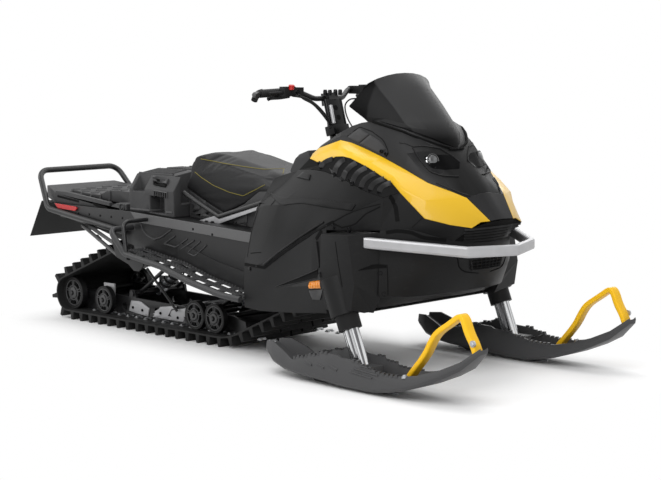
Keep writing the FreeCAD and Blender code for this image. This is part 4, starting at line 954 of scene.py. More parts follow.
def make_covers():
    """Grey covers of the hood, their seam with two plugs, and the gasket of the screen."""
    look = Surface("hood").photo
    trims(look, plates=[
        (COVER_REAR_FOOT, COVER_REAR_TOP, 0.0022, (6, 5)),
        (COVER_FRONT_FOOT, COVER_FRONT_TOP, 0.0022, (8, 5)),
    ]).done("hood_covers", hood_grey, "hood", edge=0.0012)
    trims(look, [
        (COVER_SEAM, sizes().seam, 0.0006, FLAT), (SCREEN_GASKET, 0.011, 0.0065),
    ]).done("hood_seams", shadow_black, "hood")
    plug = [(0.0075, -0.002), (0.0075, 0.006), (0.0055, 0.008), (0.0050, 0.003)]
    studs(COVER_PLUGS, look, plug, 12).mirror().done("hood_plugs", gloss_black, "hood")


def make_fins():
    """Curved cooling fins over each dark vent."""
    look = Surface("louvres").photo
    along, down = FIN_BEND
    fins = []
    for top, foot in zip(FIN_TOPS, FIN_FEET):
        control = (foot[0] + along * (top[0] - foot[0]), top[1] + down * (foot[1] - top[1]))
        fins.append((curve_marks(top, control, foot), FIN_WIDTH, FIN_RISE, BLADE, 0.01, 0.004))
    trims(look, fins).done("vent_fins", fin_black, "louvres", edge=0.0012)


def make_lamps():
    """Dark pods with projector lenses, their rings and rims."""
    look = Surface("hood", "headlamps").photo
    pods = trims(look, plates=[(GLASS_FOOT, GLASS_TOP, 0.0012, (14, 8))])
    pods.done("lamp_pods", lamp_black, "headlamps")
    trims(look, [
        (POD_UPPER, RIM_WIDTH, 0.0040, BEAD, 0.012), (POD_LOWER, RIM_WIDTH, 0.0040, BEAD, 0.012),
        (POD_TAIL, 0.005, 0.0030, BEAD, 0.012), (HOOD_LIP, RIM_WIDTH, 0.0030, BEAD, 0.015),
    ]).done("lamp_rims", body_black, "headlamps")
    centre, way = look(LENS_MARK)
    way = (way + LENS_AIM).normalized()
    lenses = Form()
    dome = [(LENS_RADIUS * math.cos(a), LENS_RADIUS * LENS_DOME * math.sin(a) - 0.003)
            for a in (0.0, 0.3, 0.6, 0.9, 1.2, 1.45)]
    lenses.turned([(LENS_RADIUS, -0.02)] + dome, centre, way, 28)
    lenses.mirror().done("lamp_lenses", lens_clear, "headlamps", smooth=60)
    rings = Form()
    rings.loop(centre, way, LENS_RADIUS + 0.002, 0.0020)
    rings.mirror().done("lamp_rings", hub_grey, "headlamps")
    glints = studs(GLINT_MARKS, look, [(0.0060, -0.002), (0.0060, 0.002), (0.0045, 0.0035)], 14)
    glints.mirror().done("lamp_glints", zinc, "headlamps")


def make_flank():
    """Seams, lips, door, tabs, reflector ribs and fasteners of the side panels."""
    look = Surface("side_panels", "lower_panels", "towers", "front_pan", "fascia").photo
    seam = sizes().seam
    trims(look, [
        (FLANK_LIP, 0.012, 0.0012, FLAT), (DOOR_TOP, seam, 0.0008, FLAT),
        (DOOR_FOOT, seam * 1.5, 0.0008, FLAT), (TOWER_SEAM, seam, 0.0007, FLAT),
        (PAN_SEAM, seam, 0.0007, FLAT), (PILLAR_SLOT, 0.014, 0.0010, FLAT),
        (GAP_FASCIA, 0.016, 0.0010, FLAT), (GAP_BUMPER, 0.014, 0.0010, FLAT),
        (FASCIA_SEAM, seam * 0.7, 0.0006, FLAT), (FLANK_SLOT, 0.004, 0.0006, FLAT),
    ], [
        (VENT_FOOT, VENT_TOP, 0.0010, (10, 3)), (PAN_NOTCH_FOOT, PAN_NOTCH_TOP, 0.0010, (8, 2)),
    ]).done("flank_gaps", shadow_black, "side_panels")
    trims(look, [
        (FLANK_RIM, 0.010, 0.0060), (PILLAR, 0.011, 0.0060), (VENT_TOP, 0.005, 0.0040),
        (VENT_FOOT, 0.004, 0.0030), (FLANK_REAR, 0.0045, 0.0020),
    ]).done("flank_rims", panel_charcoal, "side_panels")
    trims(look, plates=[
        (FLANK_TAB_FOOT, FLANK_TAB_TOP, 0.005, (4, 3)), (KNEE_FOOT, KNEE_TOP, 0.004, (16, 3)),
    ]).done("flank_pads", panel_charcoal, "side_panels", edge=0.003)
    tabs = trims(look, plates=[(TAB_FOOT, TAB_TOP, 0.004, (4, 3))])
    tabs.done("flank_tabs", hood_grey, "lower_panels", edge=0.0015)
    ribs = []
    for k in range(REFLECTOR_RIBS):
        x, y = between(*REFLECTOR_SPAN, k / (REFLECTOR_RIBS - 1))
        marks = [(x, y - REFLECTOR_RIB_HALF), (x + 0.1, y + REFLECTOR_RIB_HALF)]
        ribs.append((marks, 0.005, 0.0022, BEAD, 0.01))
    trims(Surface("reflectors").photo, ribs).done("reflector_ribs", lens_orange, "reflectors")
    fasteners = Form()
    fasteners.bolts(FLANK_BOLT, look, 0.008)
    fasteners.bolts(PAN_BOLTS, look, 0.007)
    for mark in DOOR_HOOKS:
        place, normal = look(mark)
        fasteners.loop(place + normal * 0.002, HOOK_WAY, 0.009, 0.0028, 20, 6)
    fasteners.mirror().done("flank_bolts", gloss_black, "lower_panels")


# Nose grille and lower intake, in metres; the intake narrows downwards by these shares
SLAT_HALF_WIDTHS = (0.165, 0.160, 0.152, 0.143, 0.133)
SLAT_HEIGHTS = (0.604, 0.592, 0.580, 0.568, 0.556)
MESH_HALF_WIDTH = 0.092
MESH_HEIGHTS = (0.444, 0.456, 0.468)
MESH_BARS = 8
MESH_MARGIN = 0.008
MESH_FOOT_SHARE, PIT_FOOT_SHARE, BARS_SHARE = 0.88, 0.86, 0.92
PAN_FRAME = [(457.6, 258.0), (458.6, 266.0), (463.0, 271.8), (478.0, 273.2)]


def make_nose():
    """Slats of the nose grille, and the mesh and the frame of the lower intake."""
    slats = Form()
    look = Surface("nose_grille", "fascia", "nose_plate").front
    for half, z in zip(SLAT_HALF_WIDTHS, SLAT_HEIGHTS):
        slats.strip([(-half, z), (half, z)], look, 0.005, 0.007, BLADE, 0.02, 0.003)
    slats.done("nose_slats", body_black, "nose_grille")
    look = Surface("front_pan").front
    low, high = MESH_HEIGHTS[0] - MESH_MARGIN, MESH_HEIGHTS[-1] + MESH_MARGIN
    wide = MESH_HALF_WIDTH
    foot = wide * MESH_FOOT_SHARE
    pit_foot = wide * PIT_FOOT_SHARE
    pit = Form()
    pit.plate([(-pit_foot, low), (pit_foot, low)], [(-wide, high), (wide, high)], look,
              0.0008, (16, 3))
    pit.done("mesh_pit", shadow_black, "front_pan")
    mesh = Form()
    for z in MESH_HEIGHTS:
        mesh.strip([(-wide, z), (wide, z)], look, 0.0035, 0.006, BEAD)
    for k in range(MESH_BARS):
        y = wide * BARS_SHARE * (2 * k / (MESH_BARS - 1) - 1)
        mesh.strip([(y * MESH_FOOT_SHARE, low), (y, high)], look, 0.0035, 0.0055, BEAD)
    mesh.strip([(-wide, high), (-foot, low), (foot, low), (wide, high)], look, 0.008, 0.007)
    mesh.done("nose_mesh", body_black, "front_pan")
    rim = trims(Surface("front_pan").photo, [(PAN_FRAME, 0.005, 0.003)])
    rim.done("pan_frame", shadow_black, "front_pan")


# Seams of the seat as pixels of the photograph, and its sizes in metres
SEAT_TOP_SEAM = [(200.8, 158.9), (210.0, 160.6), (225.0, 163.6), (243.3, 166.6), (264.0, 169.4),
                 (284.1, 168.8)]
SEAT_LOW_SEAM = [(195.0, 172.0), (201.7, 177.6), (213.5, 185.4), (229.6, 192.3), (243.3, 195.8)]
SEAT_FRONT_SEAM = [(243.3, 195.8), (254.0, 190.4), (265.1, 184.9)]
SEAT_SHORT_SEAM = [(284.1, 168.8), (282.9, 174.0)]
SEAT_FRAMES = 20
SEAT_PRESSURE = 4.0
SEAT_SWELL = 0.024
SEAT_LIFT = 0.011
SEAT_INSET = 0.006
SEAT_SIDE_FOOT, SEAT_SIDE_TOP = 0.66, 0.755
SEAT_MIDDLE, SEAT_SHOULDER, SEAT_EDGE, SEAT_SIDE = 0.05, 0.110, 0.153, 0.160
SEAT_ROUND = 0.010
SEAT_SHOULDER_DROP = 0.25
SEAT_SPREAD = 0.09
SEAT_END_SHARE = 0.3
# Heights above the seat's foot that stay as they are and that the padding leaves still
SEAT_KEPT_FOOT, SEAT_HELD_FOOT = 0.08, 0.05
SEAT_HELD_FACING = -0.35
# Length along the seat, and how far its top line is from the solid's there
SEAT_LINE = [(-0.42, 0.052), (-0.36, 0.026), (-0.28, 0.000), (-0.11, -0.020), (0.0, -0.036),
             (0.30, -0.034)]
SEAT_RUN_ON, SEAT_RUN_DOWN = 0.060, 0.010


def seat_line(x):
    """How far the seat's top line is from the solid's at a length along it."""
    for (x0, z0), (x1, z1) in zip(SEAT_LINE, SEAT_LINE[1:]):
        if x < x1:
            return z0 + (z1 - z0) * (x - x0) / (x1 - x0)
    return SEAT_LINE[-1][1]


def squared_top(shape):
    """Foam fills the upper side edges, and the seat's end runs on under the console."""
    crowns = [vert.co.copy() for vert in shape.verts
              if abs(vert.co.y) < SEAT_MIDDLE and vert.co.z > SEAT_SIDE_TOP]
    for vert in shape.verts:
        out = abs(vert.co.y)
        if vert.co.z > SEAT_SIDE_TOP and SEAT_MIDDLE < out < SEAT_SIDE:
            crown = min(crowns, key=lambda co: abs(co.x - vert.co.x))
            share = (out - SEAT_SHOULDER) / (SEAT_EDGE - SEAT_SHOULDER)
            drop = SEAT_SHOULDER_DROP + (1 - SEAT_SHOULDER_DROP) * share
            vert.co.z = crown.z - SEAT_ROUND * drop
            vert.co.y *= 1 + SEAT_SPREAD * share
    front = max(vert.co.x for vert in shape.verts)
    for vert in shape.verts:
        share = min(1.0, max(0.0, (vert.co.z - SEAT_SIDE_FOOT) / (SEAT_SIDE_TOP - SEAT_SIDE_FOOT)))
        vert.co.z += share * seat_line(vert.co.x)
        if vert.co.x > front - SEAT_INSET:
            vert.co.x += SEAT_RUN_ON
            vert.co.z -= SEAT_RUN_DOWN


def remeshed(node):
    """Slightly smaller copy of a soft solid with even faces."""
    shape = bmesh.new()
    shape.from_mesh(nodes[node].data)
    bmesh.ops.remove_doubles(shape, verts=shape.verts, dist=0.00005)
    squared_top(shape)
    middle = sum((vert.co for vert in shape.verts), Vector()) / len(shape.verts)
    low = min(vert.co.z for vert in shape.verts)
    for vert in shape.verts:
        inward = Vector((SEAT_END_SHARE * (middle.x - vert.co.x), middle.y - vert.co.y,
                         (middle.z - vert.co.z) * (vert.co.z > low + SEAT_KEPT_FOOT)))
        if inward.length > SEAT_INSET:
            vert.co += inward.normalized() * SEAT_INSET
    mesh = bpy.data.meshes.new("seat_start")
    shape.to_mesh(mesh)
    shape.free()
    start = bpy.data.objects.new("seat_start", mesh)
    bpy.context.scene.collection.objects.link(start)
    remesh = start.modifiers.new("even", "REMESH")
    remesh.mode = "VOXEL"
    remesh.voxel_size = sizes().voxel
    shown = start.evaluated_get(bpy.context.evaluated_depsgraph_get())
    even = bpy.data.meshes.new_from_object(shown)
    bpy.data.objects.remove(start)
    return even


def padded_up(mesh):
    """Swells the mesh as cloth under pressure, each point moving by no more than the cap."""
    scene = bpy.context.scene
    trial = bpy.data.objects.new("seat_trial", mesh.copy())
    scene.collection.objects.link(trial)
    held = trial.vertex_groups.new(name="held")
    low = min(vert.co.z for vert in mesh.vertices)
    for vert in mesh.vertices:
        still = vert.normal.z < SEAT_HELD_FACING or vert.co.z < low + SEAT_HELD_FOOT
        held.add([vert.index], float(still), "REPLACE")
    cloth = trial.modifiers.new("padding", "CLOTH")
    cloth.settings.vertex_group_mass = "held"
    cloth.settings.use_pressure = True
    cloth.settings.uniform_pressure_force = SEAT_PRESSURE
    cloth.settings.effector_weights.gravity = 0.0
    for step in range(1, SEAT_FRAMES + 1):
        scene.frame_set(step)
    shown = trial.evaluated_get(bpy.context.evaluated_depsgraph_get())
    swollen = [vert.co.copy() for vert in shown.data.vertices]
    scene.frame_set(1)
    bpy.data.objects.remove(trial)
    for vert, place in zip(mesh.vertices, swollen):
        way = place - vert.co
        way.z = min(way.z, SEAT_LIFT)
        vert.co += way * min(1.0, SEAT_SWELL / max(way.length, 1e-6))


def make_seat():
    """Padded cushion with its stitched seams."""
    mesh = remeshed("seat")
    padded_up(mesh)
    cushion = add_piece(mesh, "seat_cushion", nodes["seat"]["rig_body"], seat_cover,
                        slot_of("seat"))
    smooth = cushion.modifiers.new("smooth", "SMOOTH")
    smooth.factor = 0.5
    smooth.iterations = 3
    subdivision = cushion.modifiers.new("finer", "SUBSURF")
    subdivision.levels = 1
    subdivision.render_levels = 1
    shown = cushion.evaluated_get(bpy.context.evaluated_depsgraph_get())
    final = bpy.data.meshes.new_from_object(shown)
    cushion.modifiers.clear()
    cushion.data = final
    shade(final, 80.0)
    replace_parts(cushion, "seat")
    look = Surface(meshes=[final]).photo
    channel = Form()
    thread = Form()
    for marks in (SEAT_TOP_SEAM, SEAT_LOW_SEAM, SEAT_FRONT_SEAM, SEAT_SHORT_SEAM):
        channel.strip(marks, look, sizes().thread * 3.2, 0.0008, BEAD, 0.008)
        thread.strip(marks, look, sizes().thread, 0.0022, BEAD, 0.008)
    channel.mirror().done("seat_piping", seat_cover, "seat")
    thread.mirror().done("seat_stitches", seat_thread, "seat")


# Marks behind the side panels, as pixels of the photograph, then places in metres
TUNNEL_EMBOSS = [(141.0, 223.4), (143.0, 229.5), (147.0, 235.0), (154.8, 239.6), (162.4, 236.9),
                 (171.6, 229.8)]
TUNNEL_RIBS = [[(164.7, 243.8), (175.4, 236.1)], [(164.7, 243.8), (176.6, 247.4), (187.5, 239.0)],
               [(181.0, 249.4), (194.6, 240.5)], [(188.0, 252.7), (200.7, 241.6)],
               [(188.0, 252.7), (195.0, 256.4), (206.8, 245.3)]]
TUNNEL_BOLTS = [(193.0, 229.2), (212.2, 234.6)]
PLATE_BOLTS = [(220.4, 224.3), (206.8, 221.6)]
TANK_REAR_FOOT = [(179.2, 216.2), (195.0, 218.6), (205.0, 213.6)]
TANK_REAR_TOP = [(185.4, 195.0), (198.0, 201.4), (211.4, 209.4)]
TANK_FRONT_FOOT = [(230.4, 229.8), (246.8, 231.6)]
TANK_FRONT_TOP = [(232.0, 223.0), (247.8, 211.4)]
RAIL_SLOTS = [[(57.5, 196.0), (79.0, 201.6)], [(93.5, 204.2), (110.0, 209.0)]]
GUSSET_BOLTS = [(126.4, 254.5), (128.9, 258.4), (133.3, 259.3), (121.0, 247.5)]
LATCH_FOOT = [(153.4, 181.0), (167.6, 184.6)]
LATCH_TOP = [(154.6, 176.0), (169.2, 179.6)]
LATCH_SLOT = [(156.6, 179.2), (161.6, 180.4)]
LATCH_LIP_FOOT = [(154.0, 185.0), (165.6, 187.6)]
LATCH_LIP_TOP = [(153.4, 181.6), (167.0, 185.0)]
COMB_TOP = [(154.2, 190.4), (167.2, 192.8)]
COMB_FOOT = [(154.2, 196.8), (167.2, 198.6)]
COMB_TEETH = 7
# Places, steps and counts of the rear's ribs, bolts and teeth, in metres
SILL_Z = 0.567
LID_RIBS = 11
LID_RIB_Y = (-0.135, 0.0, 0.135)
LID_RIB_HALF = 0.048
LID_MARGIN, LID_FRONT_GAP = 0.030, 0.075
LID_EDGE_Y = 0.196
DECK_ROWS, DECK_COLUMNS = 13, 4
DECK_START, DECK_STEP = 0.17, 0.038
DECK_FIRST_Y, DECK_GAP_Y, DECK_SHIFT, DECK_RIB_HALF = -0.142, 0.095, 0.018, 0.024
HOOK_IN, HOOK_BELOW = 0.030, 0.065
STRIP_BOLTS, STRIP_BOLT_FIRST, STRIP_BOLT_STEP, STRIP_BOLT_Z = 7, -1.27, 0.085, 0.522
BOARD_TEETH, BOARD_TEETH_FIRST, BOARD_TEETH_STEP = 44, -0.60, 0.020
BOARD_TEETH_IN, BOARD_TEETH_OUT = (0.014, 0.076), 0.030
LEVEL_NORMAL = 0.8
FLANGE_GAP, FLANGE_THICK = 0.0006, 0.0024
# Brackets of the wheels, the boards' inner flanges and their stays
BRACKET_X = (-1.040, -0.958)
BRACKET_Z = (0.110, 0.188)
BRACKET_Y = 0.168
FLANGE_X = (-0.36, 0.36)
FLANGE_STEPS = 16
FLANGE_HEIGHT = 0.075
STAY_TOP = (-0.606, 0.250, 0.302)
STAY_FOOT = (-0.492, 0.170, 0.105)


def make_box_trim():
    """Comb over the handle recess, ribbed lid and latches."""
    low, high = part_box("cargo_box")
    box = Surface("cargo_box")
    look = box.photo
    pit = trims(look, plates=[(COMB_FOOT, COMB_TOP, 0.0010, (8, 3))])
    pit.done("comb_pit", shadow_black, "cargo_box")
    comb = Form()
    for k in range(COMB_TEETH):
        share = k / (COMB_TEETH - 1)
        marks = [between(*COMB_TOP, share), between(*COMB_FOOT, share)]
        comb.strip(marks, look, 0.005, 0.006, BEAD, 0.008)
    comb.strip(COMB_TOP, look, 0.006, 0.0045)
    comb.strip([(low[0] + 0.010, SILL_Z), (high[0] - 0.010, SILL_Z)], box.side, 0.010, 0.004)
    comb.mirror().done("box_comb", hub_grey, "cargo_box")
    lid = Form()
    front = high[0] - LID_FRONT_GAP
    for k in range(LID_RIBS):
        x = low[0] + LID_MARGIN + (front - low[0] - 2 * LID_MARGIN) * k / (LID_RIBS - 1)
        for y in LID_RIB_Y:
            marks = [(x, y - LID_RIB_HALF), (x, y + LID_RIB_HALF)]
            lid.strip(marks, box.above, 0.010, 0.005, BEAD, 0.02)
    for y in (-LID_EDGE_Y, LID_EDGE_Y):
        lid.strip([(low[0] + 0.012, y), (front + 0.012, y)], box.above, 0.012, 0.006)
    lid.done("box_lid_ribs", tray_black, "cargo_box")
    latches = trims(look, plates=[(LATCH_FOOT, LATCH_TOP, 0.010, (6, 3))])
    latches.done("box_latches", tray_grey, "cargo_box", edge=0.002)
    slots = Form()
    slots.plate(LATCH_LIP_FOOT, LATCH_LIP_TOP, look, 0.006, (6, 3))
    slots.strip(LATCH_SLOT, look, 0.010, 0.0112, FLAT)
    slots.mirror().done("latch_slots", shadow_black, "cargo_box")


def make_deck_trim():
    """Grip ribs on the deck's pad, slots in its rails and a tie hook on each side."""
    low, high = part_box("rear_deck")
    deck = Surface("rear_deck")
    ribs = Form()
    for row in range(DECK_ROWS):
        x = low[0] + DECK_START + DECK_STEP * row
        shift = DECK_SHIFT if row % 2 else -DECK_SHIFT
        for k in range(DECK_COLUMNS):
            y = DECK_FIRST_Y + DECK_GAP_Y * k + shift
            marks = [(x, y - DECK_RIB_HALF), (x + 0.006, y + DECK_RIB_HALF)]
            ribs.strip(marks, deck.above, 0.011, 0.004, BEAD, 0.012)
    ribs.done("deck_ribs", tray_grey, "rear_deck")
    slots = trims(deck.photo, [(marks, 0.010, 0.0010, FLAT) for marks in RAIL_SLOTS])
    slots.done("deck_slots", shadow_black, "rear_deck")
    hooks = Form()
    outward = Vector((0, 1, 0))
    place = Vector((high[0] - HOOK_IN, high[1], high[2] - HOOK_BELOW))
    hooks.loop(place, outward, 0.017, 0.0045, 24, 8)
    hooks.turned([(0.010, -0.02), (0.010, 0.006), (0.007, 0.009)], place - outward * 0.006,
                 outward, 12)
    hooks.mirror().done("deck_hooks", frame_paint, "rear_deck")


def make_tunnel_trim():
    """Pressed lines and bolts of the tunnel's sides, plate bolts and the tank's facets; the lines
    and the facets are painted lighter as highlights.
    """
    sides = Surface("tunnel", "side_strips")
    look = sides.photo
    lines = [(TUNNEL_EMBOSS, 0.009, 0.005)] + [(marks, 0.008, 0.005) for marks in TUNNEL_RIBS]
    # painted highlights: the pressed lines are lighter than the tunnel
    trims(look, lines).done("tunnel_lines", board_grey, "tunnel")
    bolts = Form()
    bolts.bolts(TUNNEL_BOLTS, look, 0.0045)
    row = [(STRIP_BOLT_FIRST + STRIP_BOLT_STEP * k, STRIP_BOLT_Z) for k in range(STRIP_BOLTS)]
    bolts.bolts(row, sides.side, 0.0045, 0.0025, 12)
    bolts.mirror().done("tunnel_bolts", gloss_black, "tunnel")
    plates = Form()
    plates.bolts(PLATE_BOLTS[:1], Surface("frame_plates").photo, 0.012, 0.007)
    plates.bolts(PLATE_BOLTS[1:], Surface("frame_plates", "tunnel").photo, 0.008, 0.005)
    plates.mirror().done("plate_bolts", gloss_black, "frame_plates")
    # painted light: the tank's facets are lighter as lit faces
    trims(Surface("fuel_tank").photo, plates=[
        (TANK_REAR_FOOT, TANK_REAR_TOP, 0.004, (5, 4)),
        (TANK_FRONT_FOOT, TANK_FRONT_TOP, 0.004, (5, 4)),
    ]).done("tank_facets", hub_grey, "fuel_tank", edge=0.002)


def make_board_trim():
    """Upstanding teeth around the boards' slots, inner flanges and gusset bolts."""
    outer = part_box("running_boards")[1][1]
    tunnel_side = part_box("tunnel")[1][1]
    above = Surface("running_boards").above
    rows = [tunnel_side + gap for gap in BOARD_TEETH_IN] + [outer - BOARD_TEETH_OUT]
    teeth = Form()
    for k in range(BOARD_TEETH):
        x = BOARD_TEETH_FIRST + BOARD_TEETH_STEP * k
        for y in rows:
            place, normal = above((x, y))
            if normal.z > LEVEL_NORMAL:
                teeth.turned([(0.0045, -0.001), (0.0018, 0.007)], place, (0, 0, 1), 6)
    teeth.mirror().done("board_teeth", board_grey, "running_boards")
    flanges = Form()
    y = -tunnel_side - FLANGE_GAP
    inner = []
    for k in range(FLANGE_STEPS + 1):
        x = FLANGE_X[0] + (FLANGE_X[1] - FLANGE_X[0]) * k / FLANGE_STEPS
        foot = above((x, -tunnel_side - 0.012))[0].z
        inner.append([Vector((x, y, foot)), Vector((x, y, foot + FLANGE_HEIGHT))])
    flanges.solid(inner, [[p - Vector((0, FLANGE_THICK, 0)) for p in row] for row in inner])
    flanges.mirror().done("board_flanges", frame_paint, "running_boards")
    bolts = Form()
    bolts.bolts(GUSSET_BOLTS, Surface("board_struts").photo, 0.008)
    bolts.mirror().done("gusset_bolts", shadow_black, "board_struts")


# Running gear, in metres: place in the side view, radius and width of each wheel, with the
# idler first and the carrier wheel last
WHEELS = [((-1.229, 0.1235), 0.0775, 0.030), ((-0.989, 0.112), 0.066, 0.026),
          ((-0.319, 0.112), 0.066, 0.026), ((-0.184, 0.112), 0.066, 0.026),
          ((-0.640, 0.367), 0.065, 0.026)]
WHEEL_Y = 0.200
# Rings on a wheel's faces: share of its radius, depth, thickness and steps round
WHEEL_RINGS = [(0.79, 0.002, 0.0028, 40), (0.45, 0.001, 0.0034, 32)]
HUB_SHARE, HUB_CAP_SHARE = 0.36, 0.30
SPOKES = 5
SPOKE_LEAN = 0.11
SPOKE_FROM, SPOKE_TO, SPOKE_RADIUS = 0.34, 0.80, 0.0026
# Top and foot of each spring in the side view
SPRINGS = [((0.060, 0.335), (-0.250, 0.150)), ((-0.470, 0.398), (-0.840, 0.152))]
SPRING_COIL = 0.0245
SPRING_WIRE = 0.0045
SPRING_TURNS = 9
DAMPER_BODY = 0.017
DAMPER_ROD = 0.007
DAMPER_NECK = 0.013
SPRING_CUP = 0.028
EYE_RADIUS = 0.016
RAIL_PLATE_REAR_FOOT = [(129.8, 310.5), (139.0, 313.6), (148.6, 316.4)]
RAIL_PLATE_REAR_TOP = [(131.8, 300.4), (141.0, 301.2), (150.0, 308.4)]
RAIL_PLATE_MID_FOOT = [(153.4, 316.8), (170.0, 319.6), (187.6, 322.4)]
RAIL_PLATE_MID_TOP = [(160.9, 306.8), (180.0, 305.6), (194.0, 302.4)]
RAIL_PLATE_BOLTS = [(134.0, 307.2), (142.5, 310.2), (161.5, 313.0), (178.8, 317.6)]
# The track's clips, between the rails and the belt
CLIP_FIRST, CLIP_LAST, CLIP_COUNT = -1.10, 0.28, 22
CLIP_Y = 0.171
CLIP_EAR = 0.014
CLIP_EAR_HALF = (0.011, 0.0045, 0.0025)
CLIP_BRIDGE_HALF = (0.004, 0.018, 0.004)
BELT_TOP = 0.046


def make_wheel_trim():
    """Ribs, rims and caps on both faces of the wheels, and their axle bolts."""
    trim = Form()
    rims = Form()
    bolts = Form()
    for (x, z), radius, width in WHEELS:
        for sign in (-1, 1):
            face = WHEEL_Y + sign * width / 2
            way = Vector((0, sign, 0))
            middle = Vector((x, face, z))
            rims.loop(middle - way * 0.003, way, radius - 0.0045, 0.0042, 48)
            for share, depth, thickness, count in WHEEL_RINGS:
                trim.loop(middle - way * depth, way, radius * share, thickness, count)
            hub, cap = radius * HUB_SHARE, radius * HUB_CAP_SHARE
            trim.turned([(hub, -0.004), (hub, 0.004), (cap, 0.007)], middle, way, 24)
            for k in range(SPOKES):
                for lean in (-SPOKE_LEAN, SPOKE_LEAN):
                    angle = math.pi / 2 + 2 * math.pi * k / SPOKES + lean
                    out = Vector((math.cos(angle), 0, math.sin(angle))) * radius
                    trim.tube([middle + out * SPOKE_FROM, middle + out * SPOKE_TO],
                              SPOKE_RADIUS, 6)
        place = Vector((x, WHEEL_Y + width / 2 + 0.006, z))
        bolts.bolt(place, (0, 1, 0), 0.0085, 0.008)
    trim.mirror().done("wheel_ribs", hub_grey, "bogie_wheels")
    rims.mirror().done("wheel_rims", rubber, "bogie_wheels")
    bolts.mirror().done("wheel_bolts", board_grey, "bogie_wheels")


def make_springs():
    """Dampers with coil springs between the arms, which stand for the plain legs."""
    bodies = Form()
    coils = Form()
    for (top_x, top_z), (foot_x, foot_z) in SPRINGS:
        start = Vector((foot_x, 0, foot_z))
        end = Vector((top_x, 0, top_z))
        way = (end - start).normalized()
        length = (end - start).length
        for place in (start, end):
            bodies.loop(place, (0, 1, 0), EYE_RADIUS + 0.003, 0.0065, 28, 10)
        middle = length * 0.5
        turn = [(DAMPER_NECK, 0.020), (DAMPER_NECK, 0.034), (SPRING_CUP, 0.036),
                (SPRING_CUP, 0.042), (DAMPER_BODY, 0.044), (DAMPER_BODY, middle),
                (0.011, middle + 0.006), (DAMPER_ROD, middle + 0.008),
                (DAMPER_ROD, length - 0.052), (SPRING_CUP, length - 0.050),
                (SPRING_CUP, length - 0.043), (0.012, length - 0.040), (0.012, length - 0.020)]
        bodies.turned(turn, start, way, 24)
        coils.coil(start + way * 0.044, end - way * 0.054, SPRING_COIL, SPRING_WIRE, SPRING_TURNS)
    legs = bodies.done("spring_dampers", alloy, "spring_legs")
    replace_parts(legs, "spring_legs")
    coils.done("spring_coils", frame_paint, "spring_legs", smooth=60)


def make_rail_trim():
    """Plates and their bolts on the rails, brackets of the wheels and the boards' stays."""
    look = Surface("slide_rails").photo
    plates = Form()
    plates.plate(RAIL_PLATE_REAR_FOOT, RAIL_PLATE_REAR_TOP, look, 0.005, (8, 4), level=True)
    plates.plate(RAIL_PLATE_MID_FOOT, RAIL_PLATE_MID_TOP, look, 0.005, (10, 4), level=True)
    middle = (sum(BRACKET_X) / 2, -BRACKET_Y, sum(BRACKET_Z) / 2)
    half = ((BRACKET_X[1] - BRACKET_X[0]) / 2, 0.004, (BRACKET_Z[1] - BRACKET_Z[0]) / 2)
    plates.block(middle, half)
    plates.mirror().done("rail_plates", silver_satin, "slide_rails", edge=0.0012)
    stays = Form()
    stays.tube([STAY_TOP, STAY_FOOT], 0.006, 12)
    stays.mirror().done("rail_stays", frame_paint, "running_boards")
    bolts = Form()
    bolts.bolts(RAIL_PLATE_BOLTS, look, 0.007, 0.010)
    bolts.mirror().done("rail_bolts", shadow_black, "slide_rails")


def make_clips():
    """Steel clips over the track's windows, each with two ears and a bridge."""
    clips = Form()
    for k in range(CLIP_COUNT):
        x = CLIP_FIRST + (CLIP_LAST - CLIP_FIRST) * k / (CLIP_COUNT - 1)
        for y in (CLIP_Y - CLIP_EAR, CLIP_Y + CLIP_EAR):
            clips.block((x, y, BELT_TOP + 0.001), CLIP_EAR_HALF)
        clips.block((x, CLIP_Y, BELT_TOP + 0.005), CLIP_BRIDGE_HALF)
    clips.mirror().done("track_clips", zinc, "track")


# Marks on the moving pieces, as pixels of the photograph, and places in metres
POST_TUBE = [(329.8, 105.5), (333.2, 123.6)]
POST_HOLES = [(335.8, 107.6), (338.7, 117.3)]
CLAMP_STUDS = [(0.338, 0.030), (0.366, 0.030)]
BUTTON_MARK = (291.6, 86.8)
HOUSING_MARK = (288.2, 91.0)
HOUSING_HALF = (0.020, 0.027, 0.020)
HOUSING_BACK = Vector((0.004, 0, 0.002))
HOUSING_TURN = math.radians(-8)
BUTTON_WAY = (0.1, 0, 1)
LEVER_RADIUS, LEVER_STEP = 0.0080, 0.012
GRIP_END_RADIUS, GRIP_END_STEP, GRIP_END_IN = 0.0135, 0.014, 0.010
LEVER_MARKS = [(289.0, 96.2), (280.0, 97.6), (271.0, 98.2), (267.8, 99.4)]
GRIP_END_MARKS = [(263.0, 92.0), (259.0, 93.2), (256.2, 96.0), (254.2, 100.6)]
CABLE_START = (292.3, 92.5)
CABLE_END_Y, CABLE_FAR_Y, CABLE_FAR_END_Y = (-0.052, -0.045), 0.170, 0.085
CABLE_RADIUS, CABLE_THIN_RADIUS = 0.0052, 0.0032
CABLE_MAIN = [(292.3, 95.6), (303.0, 97.4), (311.3, 101.4), (319.6, 108.4), (326.5, 117.0),
              (330.0, 124.5)]
CABLE_THIN = [(299.0, 94.4), (303.0, 98.8), (313.0, 104.4), (322.0, 114.0), (328.0, 122.0)]
CABLE_FAR = [(356.5, 98.6), (350.0, 99.4), (345.4, 104.4), (345.6, 112.0), (348.4, 120.0),
             (352.4, 127.0)]
POST_TOP_MARK = (332.2, 99.0)
POST_FOOT_MARK = (338.2, 128.0)
POST_HALF_WIDTH = 0.040
POST_WEB_HALF = 0.009
POST_BAR_RADIUS = 0.011
POST_TUBE_RADIUS, POST_TUBE_OUT = 0.0085, 0.004
LOWER_CLAMP_MARK = (337.6, 130.0)
LOWER_CLAMP_HALF = (0.026, 0.046, 0.020)
